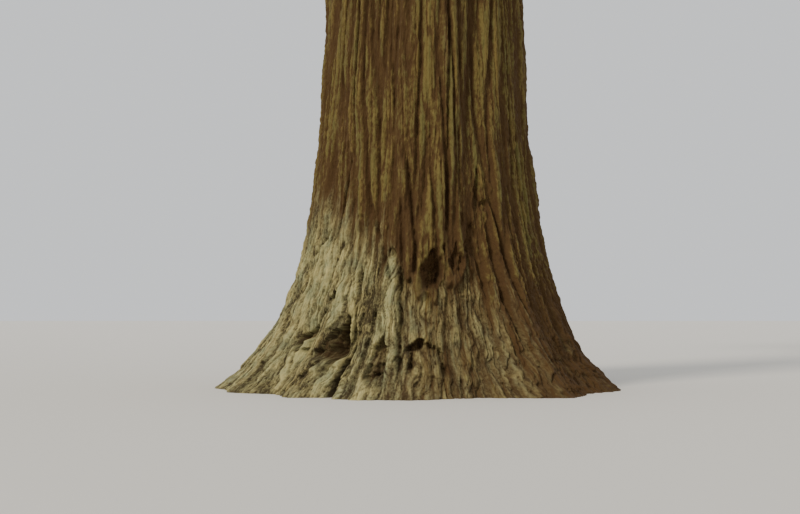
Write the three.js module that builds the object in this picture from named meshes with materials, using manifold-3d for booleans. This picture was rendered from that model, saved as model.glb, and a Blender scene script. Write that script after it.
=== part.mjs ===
// An old redwood, from the flat cut at the ground to its leader: one fluted trunk on spreading roots,
// bare for its lower third, with drooping boughs above that carry masses of flat, toothed sprays.
// Millimetres, +Z up, origin in the middle of the cut. The front of the tree faces -Y.
import * as THREE from "three";
import { mergeVertices } from "three/addons/utils/BufferGeometryUtils.js";
import Module from "manifold-3d";

const wasm = await Module();
wasm.setup();

// The real tree is 90 m tall and stands here at 40 m, so a real size in metres is multiplied by METRE.
const HEIGHT = 40000;
const REAL_HEIGHT = 90;
const METRE = HEIGHT / REAL_HEIGHT;
const GAP = 0.3; // between a limb and what it carries
const TRUNK_GAP = 0.4; // between the trunk and what grows on it

// Trunk: a stem that tapers by a power of the height left, on a flare that fades upwards.
const TRUNK_TOP = 88.2 * METRE;
const STEM_RADIUS = 2.44 * METRE;
const STEM_TAPER = 0.75;
const FLARE = 1.5 * METRE;
const FLARE_HEIGHT = 2.2 * METRE;
const TOE = 0.15 * METRE;
const TOE_HEIGHT = 0.45 * METRE;
const SWAY = 0.7 * METRE;
const SWAY_TURNS = 1.1;
const SWAY_DEPTH = 0.6; // sway to and fro, as a share of the sway from side to side
const SWAY_LAG = 2; // radians between the two
const FLUTE_DEPTH = 0.028; // share of the radius
const FLUTES = 9;
const FINE_FLUTES = 14;
const FINE_SHARE = 0.4; // share of the depth that the finer flutes have
const FLUTE_TURN = 30 * METRE; // height over which the flutes wander by one radian

// Buttress roots. bearing and spread are in degrees round the trunk from the front, positive to the
// viewer's right; reach and rise are real metres.
const ROOTS = [
  { bearing: -84, reach: 0.75, spread: 13, rise: 1.3 },
  { bearing: -60, reach: 0.5, spread: 10, rise: 1.7 },
  { bearing: -37, reach: 0.4, spread: 7, rise: 1.3 },
  { bearing: -18, reach: 0.5, spread: 7, rise: 1.1 },
  { bearing: -3, reach: 0.4, spread: 7, rise: 1.9 },
  { bearing: 38, reach: 0.6, spread: 13, rise: 2.2 },
  { bearing: 72, reach: 0.55, spread: 12, rise: 1.5 },
  { bearing: 101, reach: 0.4, spread: 9, rise: 1.9 },
  { bearing: 128, reach: 0.7, spread: 12, rise: 1.4 },
  { bearing: 158, reach: 0.45, spread: 10, rise: 1.7 },
  { bearing: -172, reach: 0.65, spread: 11, rise: 1.3 },
  { bearing: -143, reach: 0.45, spread: 9, rise: 2.0 },
  { bearing: -114, reach: 0.6, spread: 12, rise: 1.5 },
];

// Hollows between the roots, and the valley that opens right of the middle. tall is half the height.
const HOLLOWS = [
  { bearing: -27.5, height: 1.05, spread: 5, tall: 0.45, depth: 0.4 },
  { bearing: -47, height: 1.15, spread: 4.5, tall: 0.45, depth: 0.25 },
  { bearing: 15, height: 0.6, spread: 11, tall: 1.9, depth: 0.3 },
  { bearing: 4, height: 2.45, spread: 5.5, tall: 0.4, depth: 0.22 },
];

// The trunk's rings crowd towards the ground, and lose half their corners twice on the way up.
const TRUNK_RINGS = 28;
const RING_CROWDING = 2.2;
const FOOT_CORNERS = 96;
const FOOT_RINGS = 7;
const SHAFT_RINGS = 18;

// Limbs: each one climbs by the golden angle. The lower ones are a bough that carries its foliage,
// the upper ones are foliage that grows straight on the trunk.
const BOUGHS = 18;
const LIMBS = 33;
const GOLDEN_ANGLE = Math.PI * (3 - Math.sqrt(5));
const ANGLE_SPREAD = 0.5;
const ROOT_DEPTH = 0.72; // where a limb's line begins, as a share of the trunk's radius
const CROWN_BASE = 30 * METRE;
const CROWN_TOP = 86.5 * METRE;
const CROWN_RADIUS = 8.9 * METRE;
const CROWN_LOW_SHARE = 0.72; // reach of the lowest limbs, as a share of the widest
const CROWN_WIDEST = 0.25; // share of the crown's height at which it reaches furthest
const CROWN_CLOSING = 0.97;
const CROWN_ROUNDNESS = 0.75;
const HEIGHT_CROWDING = 1.45;
const REACH_SPREAD = 0.3;
const SHORTEST_LIMB = 0.9 * METRE;
const RISE_LOWEST = -0.14; // climb of a limb over its length, lowest and highest in the crown
const RISE_HIGHEST = 0.48;
const RISE_SPREAD = 0.16;
const SAG = 0.075;
const BEND_SPREAD = 0.3;
const LIMB_RADIUS = 0.27 * METRE;
const LIMB_TIP_RADIUS = 0.05 * METRE;
const LIMB_FULLNESS = 0.8;
const COLLAR = 0.9; // extra thickness of a bough where it leaves the trunk
const COLLAR_LENGTH = 0.07; // share of the limb's length
const BARE_SHARE = 0.3; // of a limb's length outside the trunk, before its foliage begins
const BOUGH_RINGS = 4;
const BOUGH_CROWDING = 1.3;
const BOUGH_CORNERS = 6;

// Foliage: side twigs turn round the limb by the golden angle, and each twig carries toothed sprays.
const FEWEST_TWIGS = 3.6; // on a limb of no length, and most on one of the crown's full radius
const MOST_TWIGS = 6.6;
const FIRST_TWIG = 0.13; // shares of the foliage's length at which its twigs begin and end
const LAST_TWIG = 0.97;
const TWIG_LENGTH = 0.46; // share of the limb's length
const TWIG_SHORTENING = 0.5;
const TWIG_SPREAD = 0.4;
const TWIG_ANGLE = THREE.MathUtils.degToRad(56);
const TWIG_RADIUS = 0.055 * METRE;
const TWIG_TIP_RADIUS = 0.03 * METRE;
const TWIG_DROOP = 0.22;
const STEM_SEGMENTS = 3;
const SPRAY_LENGTH = 3.9 * METRE;
const SPRAY_SHRINKING = 0.35; // power by which sprays are smaller on shorter limbs
const SPRAY_WIDTH = 0.8; // share of its length
const SPRAY_THICKNESS = 0.025; // share of its length
const SPRAY_THICKEST = 0.36; // share of its length
const SPRAY_SPREAD = 0.3;
const SPRAY_DROOP = 0.42;
const SPRAY_ANGLE = THREE.MathUtils.degToRad(48);
const SPRAY_ROLL = 1.5; // radians over which the sprays' tilts are spread
const STEM_SPRAY = 0.9; // sizes of the spray at a stem's tip and of those on a twig's side
const SIDE_SPRAY = 0.8;
const SIDE_SPRAY_AT = 0.6; // share of the twig's length
const SHORTER = [1, 0.85, 0.72, 0.6, 0.5, 0.4]; // shares of a spray's length that are tried in turn
const CELL_MARGIN = 0.13 * METRE;
const LIMB_MARGIN = 0.16 * METRE;
const TRUNK_MARGIN = 0.3 * METRE;

// The outline of a spray past its root, as shares of its length and width: two teeth and the tip.
const SPRAY_OUTLINE = [
  [0.42, -0.5],
  [0.6, -0.15],
  [1, 0],
  [0.68, 0.17],
  [0.55, 0.5],
];

// The leader, whose topmost spray ends at the tree's full height.
const LEADER_LENGTH = 0.85 * METRE;
const LEADER_RADIUS = 0.1 * METRE;
const LEADER_SPRAYS = 5;
const LEADER_SPRAY = 1.15 * METRE;
const LEADER_RISE = 0.9;
const LEADER_BARE = 0.25; // share of its length below its first spray

const FINEST = 1.5; // edges that fusing leaves shorter than this are closed up
const SEGMENTS = 5; // straight stretches that stand for a limb's curve when distances are measured
const WITHIN_TRUNK = 0.12; // share of an upper limb's length that counts as hidden in the trunk

const UP = new THREE.Vector3(0, 0, 1);

// A fixed number from 0 to 1 for each limb, twig and use.
function chance(limb, twig, use) {
  const wave = Math.sin(limb * 12.9898 + twig * 78.233 + use * 37.719) * 43758.5453;
  return wave - Math.floor(wave);
}

// A number spread evenly about 0, as wide as asked.
function spread(width, limb, twig, use) {
  return width * (chance(limb, twig, use) - 0.5);
}

// How far a bearing is from another, in degrees, the short way round.
function turnBetween(from, to) {
  return THREE.MathUtils.euclideanModulo(to - from + 180, 360) - 180;
}

// The trunk's centre at a height: upright at the ground, with a slight sway in the crown.
function trunkCentre(height) {
  const share = height / HEIGHT;
  const swing = share * share * SWAY;
  const turn = 2 * Math.PI * SWAY_TURNS * share;
  return new THREE.Vector3(swing * Math.sin(turn), swing * SWAY_DEPTH * Math.sin(turn + SWAY_LAG), height);
}

function meanRadius(height) {
  return (
    STEM_RADIUS * Math.pow(Math.max(1 - height / HEIGHT, 0), STEM_TAPER) +
    FLARE * Math.exp(-height / FLARE_HEIGHT) +
    TOE * Math.exp(-height / TOE_HEIGHT)
  );
}

// The mean radius, with the flutes, the roots and the hollows between them.
function trunkRadius(angle, height) {
  const bearing = THREE.MathUtils.radToDeg(angle) + 90;
  const wander = height / FLUTE_TURN;
  const flute = (1 - FINE_SHARE) * Math.cos(FLUTES * angle + wander);
  const fineFlute = FINE_SHARE * Math.cos(FINE_FLUTES * angle - wander);
  let radius = meanRadius(height) * (1 + FLUTE_DEPTH * (flute + fineFlute));
  for (const root of ROOTS) {
    const off = turnBetween(root.bearing, bearing) / root.spread;
    radius += root.reach * METRE * Math.exp(-off * off - height / (root.rise * METRE));
  }
  for (const hollow of HOLLOWS) {
    const off = turnBetween(hollow.bearing, bearing) / hollow.spread;
    const above = (height / METRE - hollow.height) / hollow.tall;
    radius -= hollow.depth * METRE * Math.exp(-off * off - above * above);
  }
  return radius;
}

// The faces between two rings. The upper ring may have half the corners of the lower one.
function wallFaces(low, corners, high, above) {
  const faces = [];
  for (let j = 0; j < above; j++) {
    const next = (j + 1) % above;
    if (corners === above) {
      faces.push([low + j, low + next, high + next], [low + j, high + next, high + j]);
    } else {
      const middle = low + 2 * j + 1;
      const end = low + ((2 * j + 2) % corners);
      faces.push([low + 2 * j, middle, high + j], [middle, end, high + next]);
      faces.push([middle, high + next, high + j]);
    }
  }
  return faces;
}

// The faces of a flat end: a fan of a ring round a point, or one face over three corners.
function endFaces(ring, start, middle, facesDown) {
  const corners = ring.length;
  const fan = Array.from({ length: corners }, (_, j) => [start + j, start + ((j + 1) % corners), middle]);
  const faces = corners > 3 ? fan : [[start, start + 1, start + 2]];
  return facesDown ? faces.map((face) => face.toReversed()) : faces;
}

// The faces of a blade that grows out of a ring of three corners, the first two on its outline.
function bladeFaces(neck, outlineStart, over, under) {
  const outline = [neck, ...SPRAY_OUTLINE.keys().map((i) => outlineStart + i), neck + 1];
  const faces = [
    [neck, neck + 1, under],
    [neck + 1, neck + 2, over],
    [neck + 2, neck, over],
  ];
  for (let i = 0; i + 1 < outline.length; i++) {
    faces.push([outline[i], outline[i + 1], over], [outline[i + 1], outline[i], under]);
  }
  return faces;
}

// A closed mesh over a stack of rings. It ends flat, or in the blade of a spray if one is given.
function skinOver(rings, spray) {
  const points = rings.flat();
  const starts = rings.map((_, i) => rings.slice(0, i).flat().length);
  const faces = [];
  for (let i = 0; i + 1 < rings.length; i++) {
    faces.push(...wallFaces(starts[i], rings[i].length, starts[i + 1], rings[i + 1].length));
  }
  const close = (ring, start, facesDown) => {
    faces.push(...endFaces(ring, start, points.length, facesDown));
    const middle = ring.reduce((sum, point) => sum.add(point), new THREE.Vector3()).divideScalar(ring.length);
    if (ring.length > 3) points.push(middle);
  };
  close(rings[0], starts[0], true);
  if (spray) {
    const over = points.length + SPRAY_OUTLINE.length;
    faces.push(...bladeFaces(starts.at(-1), points.length, over, over + 1));
    points.push(...bladePoints(spray));
  } else {
    close(rings.at(-1), starts.at(-1), false);
  }
  return geometryOf(points, faces);
}

function geometryOf(points, faces) {
  return new THREE.BufferGeometry().setFromPoints(points).setIndex(faces.flat());
}

function solidOf(geometry) {
  const merged = mergeVertices(geometry, 1e-3);
  return new wasm.Manifold(
    new wasm.Mesh({
      numProp: 3,
      vertProperties: merged.attributes.position.array,
      triVerts: new Uint32Array(merged.index.array),
    }),
  );
}

function geometryFrom(solid) {
  const mesh = solid.getMesh();
  return new THREE.BufferGeometry()
    .setAttribute("position", new THREE.BufferAttribute(mesh.vertProperties, 3))
    .setIndex(new THREE.BufferAttribute(mesh.triVerts, 1));
}

// The largest body of a solid. Loose scraps go, and so does the wall of any hollow that fusing has sealed.
function mainBody(solid) {
  return solid.decompose().reduce((best, body) => (body.volume() > best.volume() ? body : best));
}

// The trunk's mesh, its surface pushed out by a margin.
function trunkGeometry(margin) {
  const rings = [];
  for (let i = 0; i <= TRUNK_RINGS; i++) {
    const height = TRUNK_TOP * Math.pow(i / TRUNK_RINGS, RING_CROWDING);
    const halvings = (i > FOOT_RINGS) + (i > SHAFT_RINGS);
    const corners = FOOT_CORNERS / 2 ** halvings;
    const centre = trunkCentre(height);
    rings.push(
      Array.from({ length: corners }, (_, j) => {
        const angle = (2 * Math.PI * j) / corners;
        const outward = new THREE.Vector3(Math.cos(angle), Math.sin(angle), 0);
        return centre.clone().addScaledVector(outward, trunkRadius(angle, height) + margin);
      }),
    );
  }
  return skinOver(rings);
}

// Reach of the crown from the trunk's centre at a share of the crown's height.
function crownReach(share) {
  const low = THREE.MathUtils.lerp(CROWN_LOW_SHARE, 1, THREE.MathUtils.smoothstep(share, 0, CROWN_WIDEST));
  return CROWN_RADIUS * low * Math.pow(1 - CROWN_CLOSING * share * share, CROWN_ROUNDNESS);
}

// Where a limb leaves the trunk, which way it goes, and how it bends.
function limbPlan(limb) {
  const climbed = 1 - Math.pow(1 - limb / (LIMBS - 1), HEIGHT_CROWDING);
  const height = THREE.MathUtils.lerp(CROWN_BASE, CROWN_TOP, climbed);
  const angle = GOLDEN_ANGLE * limb + spread(ANGLE_SPREAD, limb, 0, 1);
  const outward = new THREE.Vector3(Math.cos(angle), Math.sin(angle), 0);
  const rooted = ROOT_DEPTH * meanRadius(height);
  const reach = crownReach(climbed) * (1 + spread(REACH_SPREAD, limb, 0, 2));
  const length = Math.max(reach - rooted, SHORTEST_LIMB);
  const inTrunk = (meanRadius(height) - rooted) / length;
  return {
    root: trunkCentre(height).addScaledVector(outward, rooted),
    outward,
    sideways: new THREE.Vector3(-outward.y, outward.x, 0),
    length,
    rise: THREE.MathUtils.lerp(RISE_LOWEST, RISE_HIGHEST, climbed ** 2) + spread(RISE_SPREAD, limb, 0, 3),
    sag: SAG * (1 - climbed),
    bend: spread(BEND_SPREAD, limb, 0, 4),
    radius: THREE.MathUtils.lerp(LIMB_TIP_RADIUS, LIMB_RADIUS, Math.sqrt(length / CROWN_RADIUS)),
    bare: limb < BOUGHS ? BARE_SHARE + inTrunk : 0,
  };
}

// A limb's line: out from the trunk, sagging, and rising again to its tip.
function limbPoint(plan, share) {
  const climb = plan.rise * share - 4 * plan.sag * share * (1 - share);
  return plan.root
    .clone()
    .addScaledVector(plan.outward, plan.length * share)
    .addScaledVector(plan.sideways, plan.length * plan.bend * share * share)
    .addScaledVector(UP, plan.length * climb);
}

function limbDirection(plan, share) {
  const step = 0.01;
  return limbPoint(plan, share + step).sub(limbPoint(plan, share - step)).normalize();
}

function limbRadius(plan, share) {
  const collar = plan.bare ? COLLAR * Math.exp(-share / COLLAR_LENGTH) : 0;
  return (1 + collar) * THREE.MathUtils.lerp(plan.radius, LIMB_TIP_RADIUS, Math.pow(share, LIMB_FULLNESS));
}

// Two directions square to a line, the first of them level.
function across(direction) {
  const level = new THREE.Vector3().crossVectors(UP, direction);
  if (level.lengthSq() < 0.01) level.set(1, 0, 0);
  level.normalize();
  return [level, new THREE.Vector3().crossVectors(direction, level).normalize()];
}

// A ring square to a direction. An axis, where one is given, lies along the line of its first two corners.
function ringRound(centre, direction, radius, corners, axis = across(direction)[0]) {
  const level = axis.clone().addScaledVector(direction, -axis.dot(direction)).normalize();
  const upright = new THREE.Vector3().crossVectors(direction, level);
  return Array.from({ length: corners }, (_, j) => {
    const turn = (2 * Math.PI * j) / corners - (5 * Math.PI) / 6;
    return centre
      .clone()
      .addScaledVector(level, radius * Math.cos(turn))
      .addScaledVector(upright, radius * Math.sin(turn));
  });
}

function boughGeometry(plan) {
  const rings = [];
  for (let i = 0; i <= BOUGH_RINGS; i++) {
    const share = plan.bare * Math.pow(i / BOUGH_RINGS, BOUGH_CROWDING);
    const direction = limbDirection(plan, share);
    rings.push(ringRound(limbPoint(plan, share), direction, limbRadius(plan, share), BOUGH_CORNERS));
  }
  return skinOver(rings);
}

// The stem that runs on from a bough's tip, or from inside the trunk, and ends in a spray.
function stemGeometry(plan, spray) {
  const rings = [];
  for (let i = 0; i <= STEM_SEGMENTS; i++) {
    const share = THREE.MathUtils.lerp(plan.bare, 1, i / STEM_SEGMENTS);
    const direction = limbDirection(plan, share);
    const start = i === 0 && plan.bare ? GAP : 0;
    const centre = limbPoint(plan, share).addScaledVector(direction, start);
    rings.push(ringRound(centre, direction, limbRadius(plan, share), 3, spray.width));
  }
  return skinOver(rings, spray);
}

// A straight twig that ends in a spray.
function twigGeometry(twig, spray) {
  const foot = ringRound(twig.root, twig.direction, TWIG_RADIUS, 3, spray.width);
  const tip = ringRound(twig.tip, spray.direction, TWIG_TIP_RADIUS, 3, spray.width);
  return skinOver([foot, tip], spray);
}

// A side twig: it leaves the limb at a share of its length, turned round it by the golden angle.
function twigPlan(limb, plan, twig, twigs) {
  const along = THREE.MathUtils.lerp(FIRST_TWIG, LAST_TWIG, twig / twigs);
  const share = THREE.MathUtils.lerp(plan.bare, 1, along);
  const stem = limbDirection(plan, share);
  const [level, upright] = across(stem);
  const roll = GOLDEN_ANGLE * twig + 2 * Math.PI * chance(limb, 0, 5);
  const direction = stem
    .multiplyScalar(Math.cos(TWIG_ANGLE))
    .addScaledVector(level, Math.sin(TWIG_ANGLE) * Math.cos(roll))
    .addScaledVector(upright, Math.sin(TWIG_ANGLE) * Math.sin(roll))
    .addScaledVector(UP, -TWIG_DROOP)
    .normalize();
  const root = limbPoint(plan, share);
  const shortening = 1 - TWIG_SHORTENING * along;
  const length = TWIG_LENGTH * plan.length * shortening * (1 + spread(TWIG_SPREAD, limb, twig, 6));
  return { root, direction, tip: root.clone().addScaledVector(direction, length), length };
}

// A spray: where it is rooted, the line it follows, its width axis and its length. side turns it from
// the heading to the left or right.
function sprayPlan(root, heading, side, length, roll) {
  const [sideways] = across(heading);
  const direction = heading
    .clone()
    .multiplyScalar(Math.cos(SPRAY_ANGLE * side))
    .addScaledVector(sideways, Math.sin(SPRAY_ANGLE * side))
    .addScaledVector(UP, -SPRAY_DROOP)
    .normalize();
  const [level, upright] = across(direction);
  const width = level.multiplyScalar(Math.cos(roll)).addScaledVector(upright, Math.sin(roll));
  return { root, direction, width, normal: new THREE.Vector3().crossVectors(direction, width), length };
}

function sprayPoint(spray, along, sideways, out) {
  return spray.root
    .clone()
    .addScaledVector(spray.direction, along * spray.length)
    .addScaledVector(spray.width, sideways * SPRAY_WIDTH * spray.length)
    .addScaledVector(spray.normal, out * SPRAY_THICKNESS * spray.length);
}

// The corners of a spray's outline, then the two on its midrib where it is thickest.
function bladePoints(spray) {
  return [
    ...SPRAY_OUTLINE.map(([along, sideways]) => sprayPoint(spray, along, sideways, 0)),
    sprayPoint(spray, SPRAY_THICKEST, 0, 0.5),
    sprayPoint(spray, SPRAY_THICKEST, 0, -0.5),
  ];
}

// A toothed blade by itself, thickest on its midrib and sharp all round its outline.
function sprayGeometry(spray) {
  const over = SPRAY_OUTLINE.length + 1;
  const faces = [];
  for (let j = 0; j < over; j++) {
    const next = (j + 1) % over;
    faces.push([j, next, over], [next, j, over + 1]);
  }
  return geometryOf([spray.root, ...bladePoints(spray)], faces);
}

// Points spread over a spray, closely enough to tell what it would touch.
function spraySamples(spray) {
  const steps = 10;
  const samples = [];
  for (let i = 2; i <= steps; i++) {
    const along = i / steps;
    const half = 0.5 * Math.min(1, 3.4 * along, 2.6 * (1.02 - along));
    for (const sideways of [-half, -half / 2, 0, half / 2, half]) {
      samples.push(sprayPoint(spray, along, sideways, 0));
    }
  }
  return samples;
}

function limbLine(plan, from, to) {
  return Array.from({ length: SEGMENTS }, (_, i) => {
    const ends = [i, i + 1].map((end) => THREE.MathUtils.lerp(from, to, end / SEGMENTS));
    return new THREE.Line3(...ends.map((share) => limbPoint(plan, share)));
  });
}

function distanceTo(line, point) {
  const nearest = new THREE.Vector3();
  return Math.min(...line.map((part) => part.closestPointToPoint(point, true, nearest).distanceTo(point)));
}

const plans = Array.from({ length: LIMBS }, (_, limb) => limbPlan(limb));
const stemLines = plans.map((plan) => limbLine(plan, Math.max(plan.bare, WITHIN_TRUNK), 1));
const boughs = plans.filter((plan) => plan.bare);
const boughLines = boughs.map((plan) => limbLine(plan, 0, plan.bare));
const leaderRoot = trunkCentre(TRUNK_TOP).add(new THREE.Vector3(0, 0, LEADER_LENGTH / 2));

// True if a point is in a limb's own space: nearer to its stem than to any other, clear of boughs and trunk.
function isFree(limb, point) {
  const away = point.clone().sub(trunkCentre(point.z)).length();
  if (away < meanRadius(point.z) * (1 + FLUTE_DEPTH) + TRUNK_MARGIN) return false;
  const own = distanceTo(stemLines[limb], point) + CELL_MARGIN;
  if (point.distanceTo(leaderRoot) < own) return false;
  if (stemLines.some((line, other) => other !== limb && distanceTo(line, point) < own)) return false;
  return boughLines.every((line, i) => distanceTo(line, point) > boughs[i].radius + LIMB_MARGIN);
}

function twigFits(limb, twig) {
  const samples = [0.35, 0.6, 0.8, 1].map((share) => twig.root.clone().lerp(twig.tip, share));
  return samples.every((point) => isFree(limb, point));
}

// The longest spray, of a few shorter and shorter ones, that keeps to the limb's own space.
function fittingSpray(limb, root, heading, side, length, use) {
  const grown = length * (1 + spread(SPRAY_SPREAD, limb, use, 7));
  const roll = spread(SPRAY_ROLL, limb, use, 8);
  const tried = SHORTER.map((shorter) => sprayPlan(root, heading, side, grown * shorter, roll));
  return tried.find((spray) => spraySamples(spray).every((point) => isFree(limb, point)));
}

function isClear(solid, others) {
  return others.every((other) => solid.intersect(other).isEmpty());
}

// One limb's foliage: a stem and side twigs that end in sprays, and one more spray on each twig's side.
// What would leave the limb's space, or cross anything but its own twig, is left out.
function foliageSolid(limb, widerTrunk) {
  const plan = plans[limb];
  const twigs = Math.round(THREE.MathUtils.lerp(FEWEST_TWIGS, MOST_TWIGS, plan.length / CROWN_RADIUS));
  const size = SPRAY_LENGTH * Math.pow(plan.length / CROWN_RADIUS, SPRAY_SHRINKING);
  const stemSpray = fittingSpray(limb, limbPoint(plan, 1), limbDirection(plan, 1), 0, STEM_SPRAY * size, -1);
  const stem = solidOf(stemGeometry(plan, stemSpray));
  const fronds = [];
  for (let i = 0; i < twigs; i++) {
    const twig = twigPlan(limb, plan, i, twigs);
    const spray = fittingSpray(limb, twig.tip, twig.direction, 0, size, 2 * i);
    if (!spray || !twigFits(limb, twig)) continue;
    const solid = solidOf(twigGeometry(twig, spray));
    if (!isClear(solid, fronds.map((frond) => frond.solid))) continue;
    fronds.push({ i, twig, solid });
  }
  const placed = [stem, ...fronds.map((frond) => frond.solid)];
  for (const { i, twig, solid } of fronds) {
    const from = twig.root.clone().lerp(twig.tip, SIDE_SPRAY_AT);
    const spray = fittingSpray(limb, from, twig.direction, i % 2 ? 1 : -1, SIDE_SPRAY * size, 2 * i + 1);
    if (!spray) continue;
    const blade = solidOf(sprayGeometry(spray));
    const others = placed.filter((other) => other !== solid);
    if (isClear(blade, others)) placed.push(blade);
  }
  const fused = placed.reduce((sum, next) => sum.add(next)).simplify(FINEST);
  return mainBody(plan.bare ? fused : fused.subtract(widerTrunk));
}

// The leader: a short upright stem on the trunk's tip that ends in a spray at the tree's full height,
// ringed by rising sprays.
function leaderSolid() {
  const foot = trunkCentre(TRUNK_TOP).add(new THREE.Vector3(0, 0, GAP));
  const top = foot.clone().setZ(TRUNK_TOP + LEADER_LENGTH);
  const [width, normal] = across(UP);
  const topSpray = { root: top, direction: UP, width, normal, length: HEIGHT - top.z };
  const rings = [ringRound(foot, UP, LEADER_RADIUS, 3, width), ringRound(top, UP, TWIG_TIP_RADIUS, 3, width)];
  const parts = [skinOver(rings, topSpray)];
  for (let i = 0; i < LEADER_SPRAYS; i++) {
    const angle = GOLDEN_ANGLE * i;
    const direction = new THREE.Vector3(Math.cos(angle), Math.sin(angle), LEADER_RISE).normalize();
    const [sideways, upright] = across(direction);
    const root = foot.clone().lerp(top, THREE.MathUtils.lerp(LEADER_BARE, 1, i / LEADER_SPRAYS));
    parts.push(sprayGeometry({ root, direction, width: sideways, normal: upright, length: LEADER_SPRAY }));
  }
  return mainBody(parts.map(solidOf).reduce((sum, next) => sum.add(next)).simplify(FINEST));
}

const bark = new THREE.MeshStandardMaterial({ color: 0x6a583c, roughness: 0.92, metalness: 0 });
const limbBark = new THREE.MeshStandardMaterial({ color: 0x63493a, roughness: 0.92, metalness: 0 });
const needles = new THREE.MeshStandardMaterial({ color: 0x3f5a2c, roughness: 0.7, metalness: 0 });

function named(name, geometry, material) {
  const mesh = new THREE.Mesh(geometry, material);
  mesh.name = name;
  return mesh;
}

function numbered(name, limb) {
  return `${name}_${String(limb + 1).padStart(2, "0")}`;
}

function buildTree() {
  const tree = new THREE.Group();
  const widerTrunk = solidOf(trunkGeometry(TRUNK_GAP));
  tree.add(named("trunk", trunkGeometry(0), bark));
  plans.forEach((plan, limb) => {
    if (plan.bare) {
      const bough = mainBody(solidOf(boughGeometry(plan)).subtract(widerTrunk));
      tree.add(named(numbered("bough", limb), geometryFrom(bough), limbBark));
    }
    tree.add(named(numbered("foliage", limb), geometryFrom(foliageSolid(limb, widerTrunk)), needles));
  });
  tree.add(named("foliage_leader", geometryFrom(leaderSolid()), needles));
  return tree;
}

export default buildTree();
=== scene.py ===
"""The looks of an old redwood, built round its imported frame: thick furrowed bark on the trunk, scaly bark
on the limbs, and twigs that end in flat sprays of needles. The tree stands here at 40 m for its real 90 m.
Metres, +Z up, origin in the middle of the flat cut at the ground. The front of the tree faces -Y."""

import functools
import math

import bpy
import numpy as np
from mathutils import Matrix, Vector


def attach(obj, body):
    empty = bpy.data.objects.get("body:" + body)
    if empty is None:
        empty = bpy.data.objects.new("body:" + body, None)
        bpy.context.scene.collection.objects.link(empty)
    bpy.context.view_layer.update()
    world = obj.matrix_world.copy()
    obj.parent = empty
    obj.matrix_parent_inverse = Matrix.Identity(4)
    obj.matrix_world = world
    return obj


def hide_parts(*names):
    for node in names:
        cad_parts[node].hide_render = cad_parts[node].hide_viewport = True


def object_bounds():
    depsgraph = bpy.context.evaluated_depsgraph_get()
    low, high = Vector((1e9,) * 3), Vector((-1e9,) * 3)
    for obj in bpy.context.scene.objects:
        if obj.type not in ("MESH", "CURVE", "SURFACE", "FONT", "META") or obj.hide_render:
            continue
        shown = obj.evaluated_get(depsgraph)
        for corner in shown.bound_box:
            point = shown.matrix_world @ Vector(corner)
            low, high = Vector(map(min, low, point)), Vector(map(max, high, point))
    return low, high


bl_info = {
    "name": "Old redwood",
    "version": (1, 0, 0),
    "blender": (4, 5, 0),
    "location": "View3D > Sidebar > Redwood",
    "description": "Dresses the frame of an old redwood with bark, twigs and needles",
    "category": "Add Mesh",
}

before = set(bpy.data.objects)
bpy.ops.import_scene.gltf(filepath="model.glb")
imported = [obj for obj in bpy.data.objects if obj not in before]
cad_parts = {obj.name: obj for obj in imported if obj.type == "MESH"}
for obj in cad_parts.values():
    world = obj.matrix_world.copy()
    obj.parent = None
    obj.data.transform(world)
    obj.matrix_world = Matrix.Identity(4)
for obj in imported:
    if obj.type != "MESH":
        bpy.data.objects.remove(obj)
CAD_BOX = [list(corner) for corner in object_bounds()]

# A real size in metres is multiplied by METRE.
HEIGHT = 40.0
METRE = HEIGHT / 90

# Trunk: a stem that tapers by a power of the height left, on a flare that fades upwards.
TRUNK_TOP = 88.2 * METRE
STEM_RADIUS = 2.44 * METRE
STEM_TAPER = 0.75
FLARE = 1.5 * METRE
FLARE_HEIGHT = 2.2 * METRE
TOE = 0.15 * METRE
TOE_HEIGHT = 0.45 * METRE
SWAY = 0.7 * METRE
SWAY_TURNS = 1.1
SWAY_DEPTH = 0.6
SWAY_LAG = 2.0
FLUTE_DEPTH = 0.028
FLUTES = 9
FINE_FLUTES = 14
FINE_SHARE = 0.4
FLUTE_TURN = 30 * METRE

# Buttress roots: bearing from the front and spread in degrees, reach and rise in real metres.
ROOTS = (
    (-84, 13, 0.75, 1.3),
    (-60, 10, 0.5, 1.7),
    (-37, 7, 0.4, 1.3),
    (-18, 7, 0.5, 1.1),
    (-3, 7, 0.4, 1.9),
    (38, 13, 0.6, 2.2),
    (72, 12, 0.55, 1.5),
    (101, 9, 0.4, 1.9),
    (128, 12, 0.7, 1.4),
    (158, 10, 0.45, 1.7),
    (-172, 11, 0.65, 1.3),
    (-143, 9, 0.45, 2.0),
    (-114, 12, 0.6, 1.5),
)

# Hollows: bearing and spread in degrees, height, half height and depth in real metres.
HOLLOWS = (
    (-27.5, 5, 1.05, 0.45, 0.4),
    (-47, 4.5, 1.15, 0.45, 0.25),
    (15, 11, 0.6, 1.9, 0.3),
    (4, 5.5, 2.45, 0.4, 0.22),
)

# Limbs: each one climbs by the golden angle; the lower ones begin as a bare bough.
BOUGHS = 18
LIMBS = 33
GOLDEN_ANGLE = math.pi * (3 - math.sqrt(5))
ANGLE_SPREAD = 0.5
ROOT_DEPTH = 0.72
CROWN_BASE = 30 * METRE
CROWN_TOP = 86.5 * METRE
CROWN_RADIUS = 8.9 * METRE
CROWN_LOW_SHARE = 0.72
CROWN_WIDEST = 0.25
CROWN_CLOSING = 0.97
CROWN_ROUNDNESS = 0.75
HEIGHT_CROWDING = 1.45
REACH_SPREAD = 0.3
SHORTEST_LIMB = 0.9 * METRE
RISE_LOWEST = -0.14
RISE_HIGHEST = 0.48
RISE_SPREAD = 0.16
SAG = 0.075
BEND_SPREAD = 0.3
LIMB_RADIUS = 0.27 * METRE
LIMB_TIP_RADIUS = 0.05 * METRE
LIMB_FULLNESS = 0.8
COLLAR = 0.9
COLLAR_LENGTH = 0.07
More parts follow.
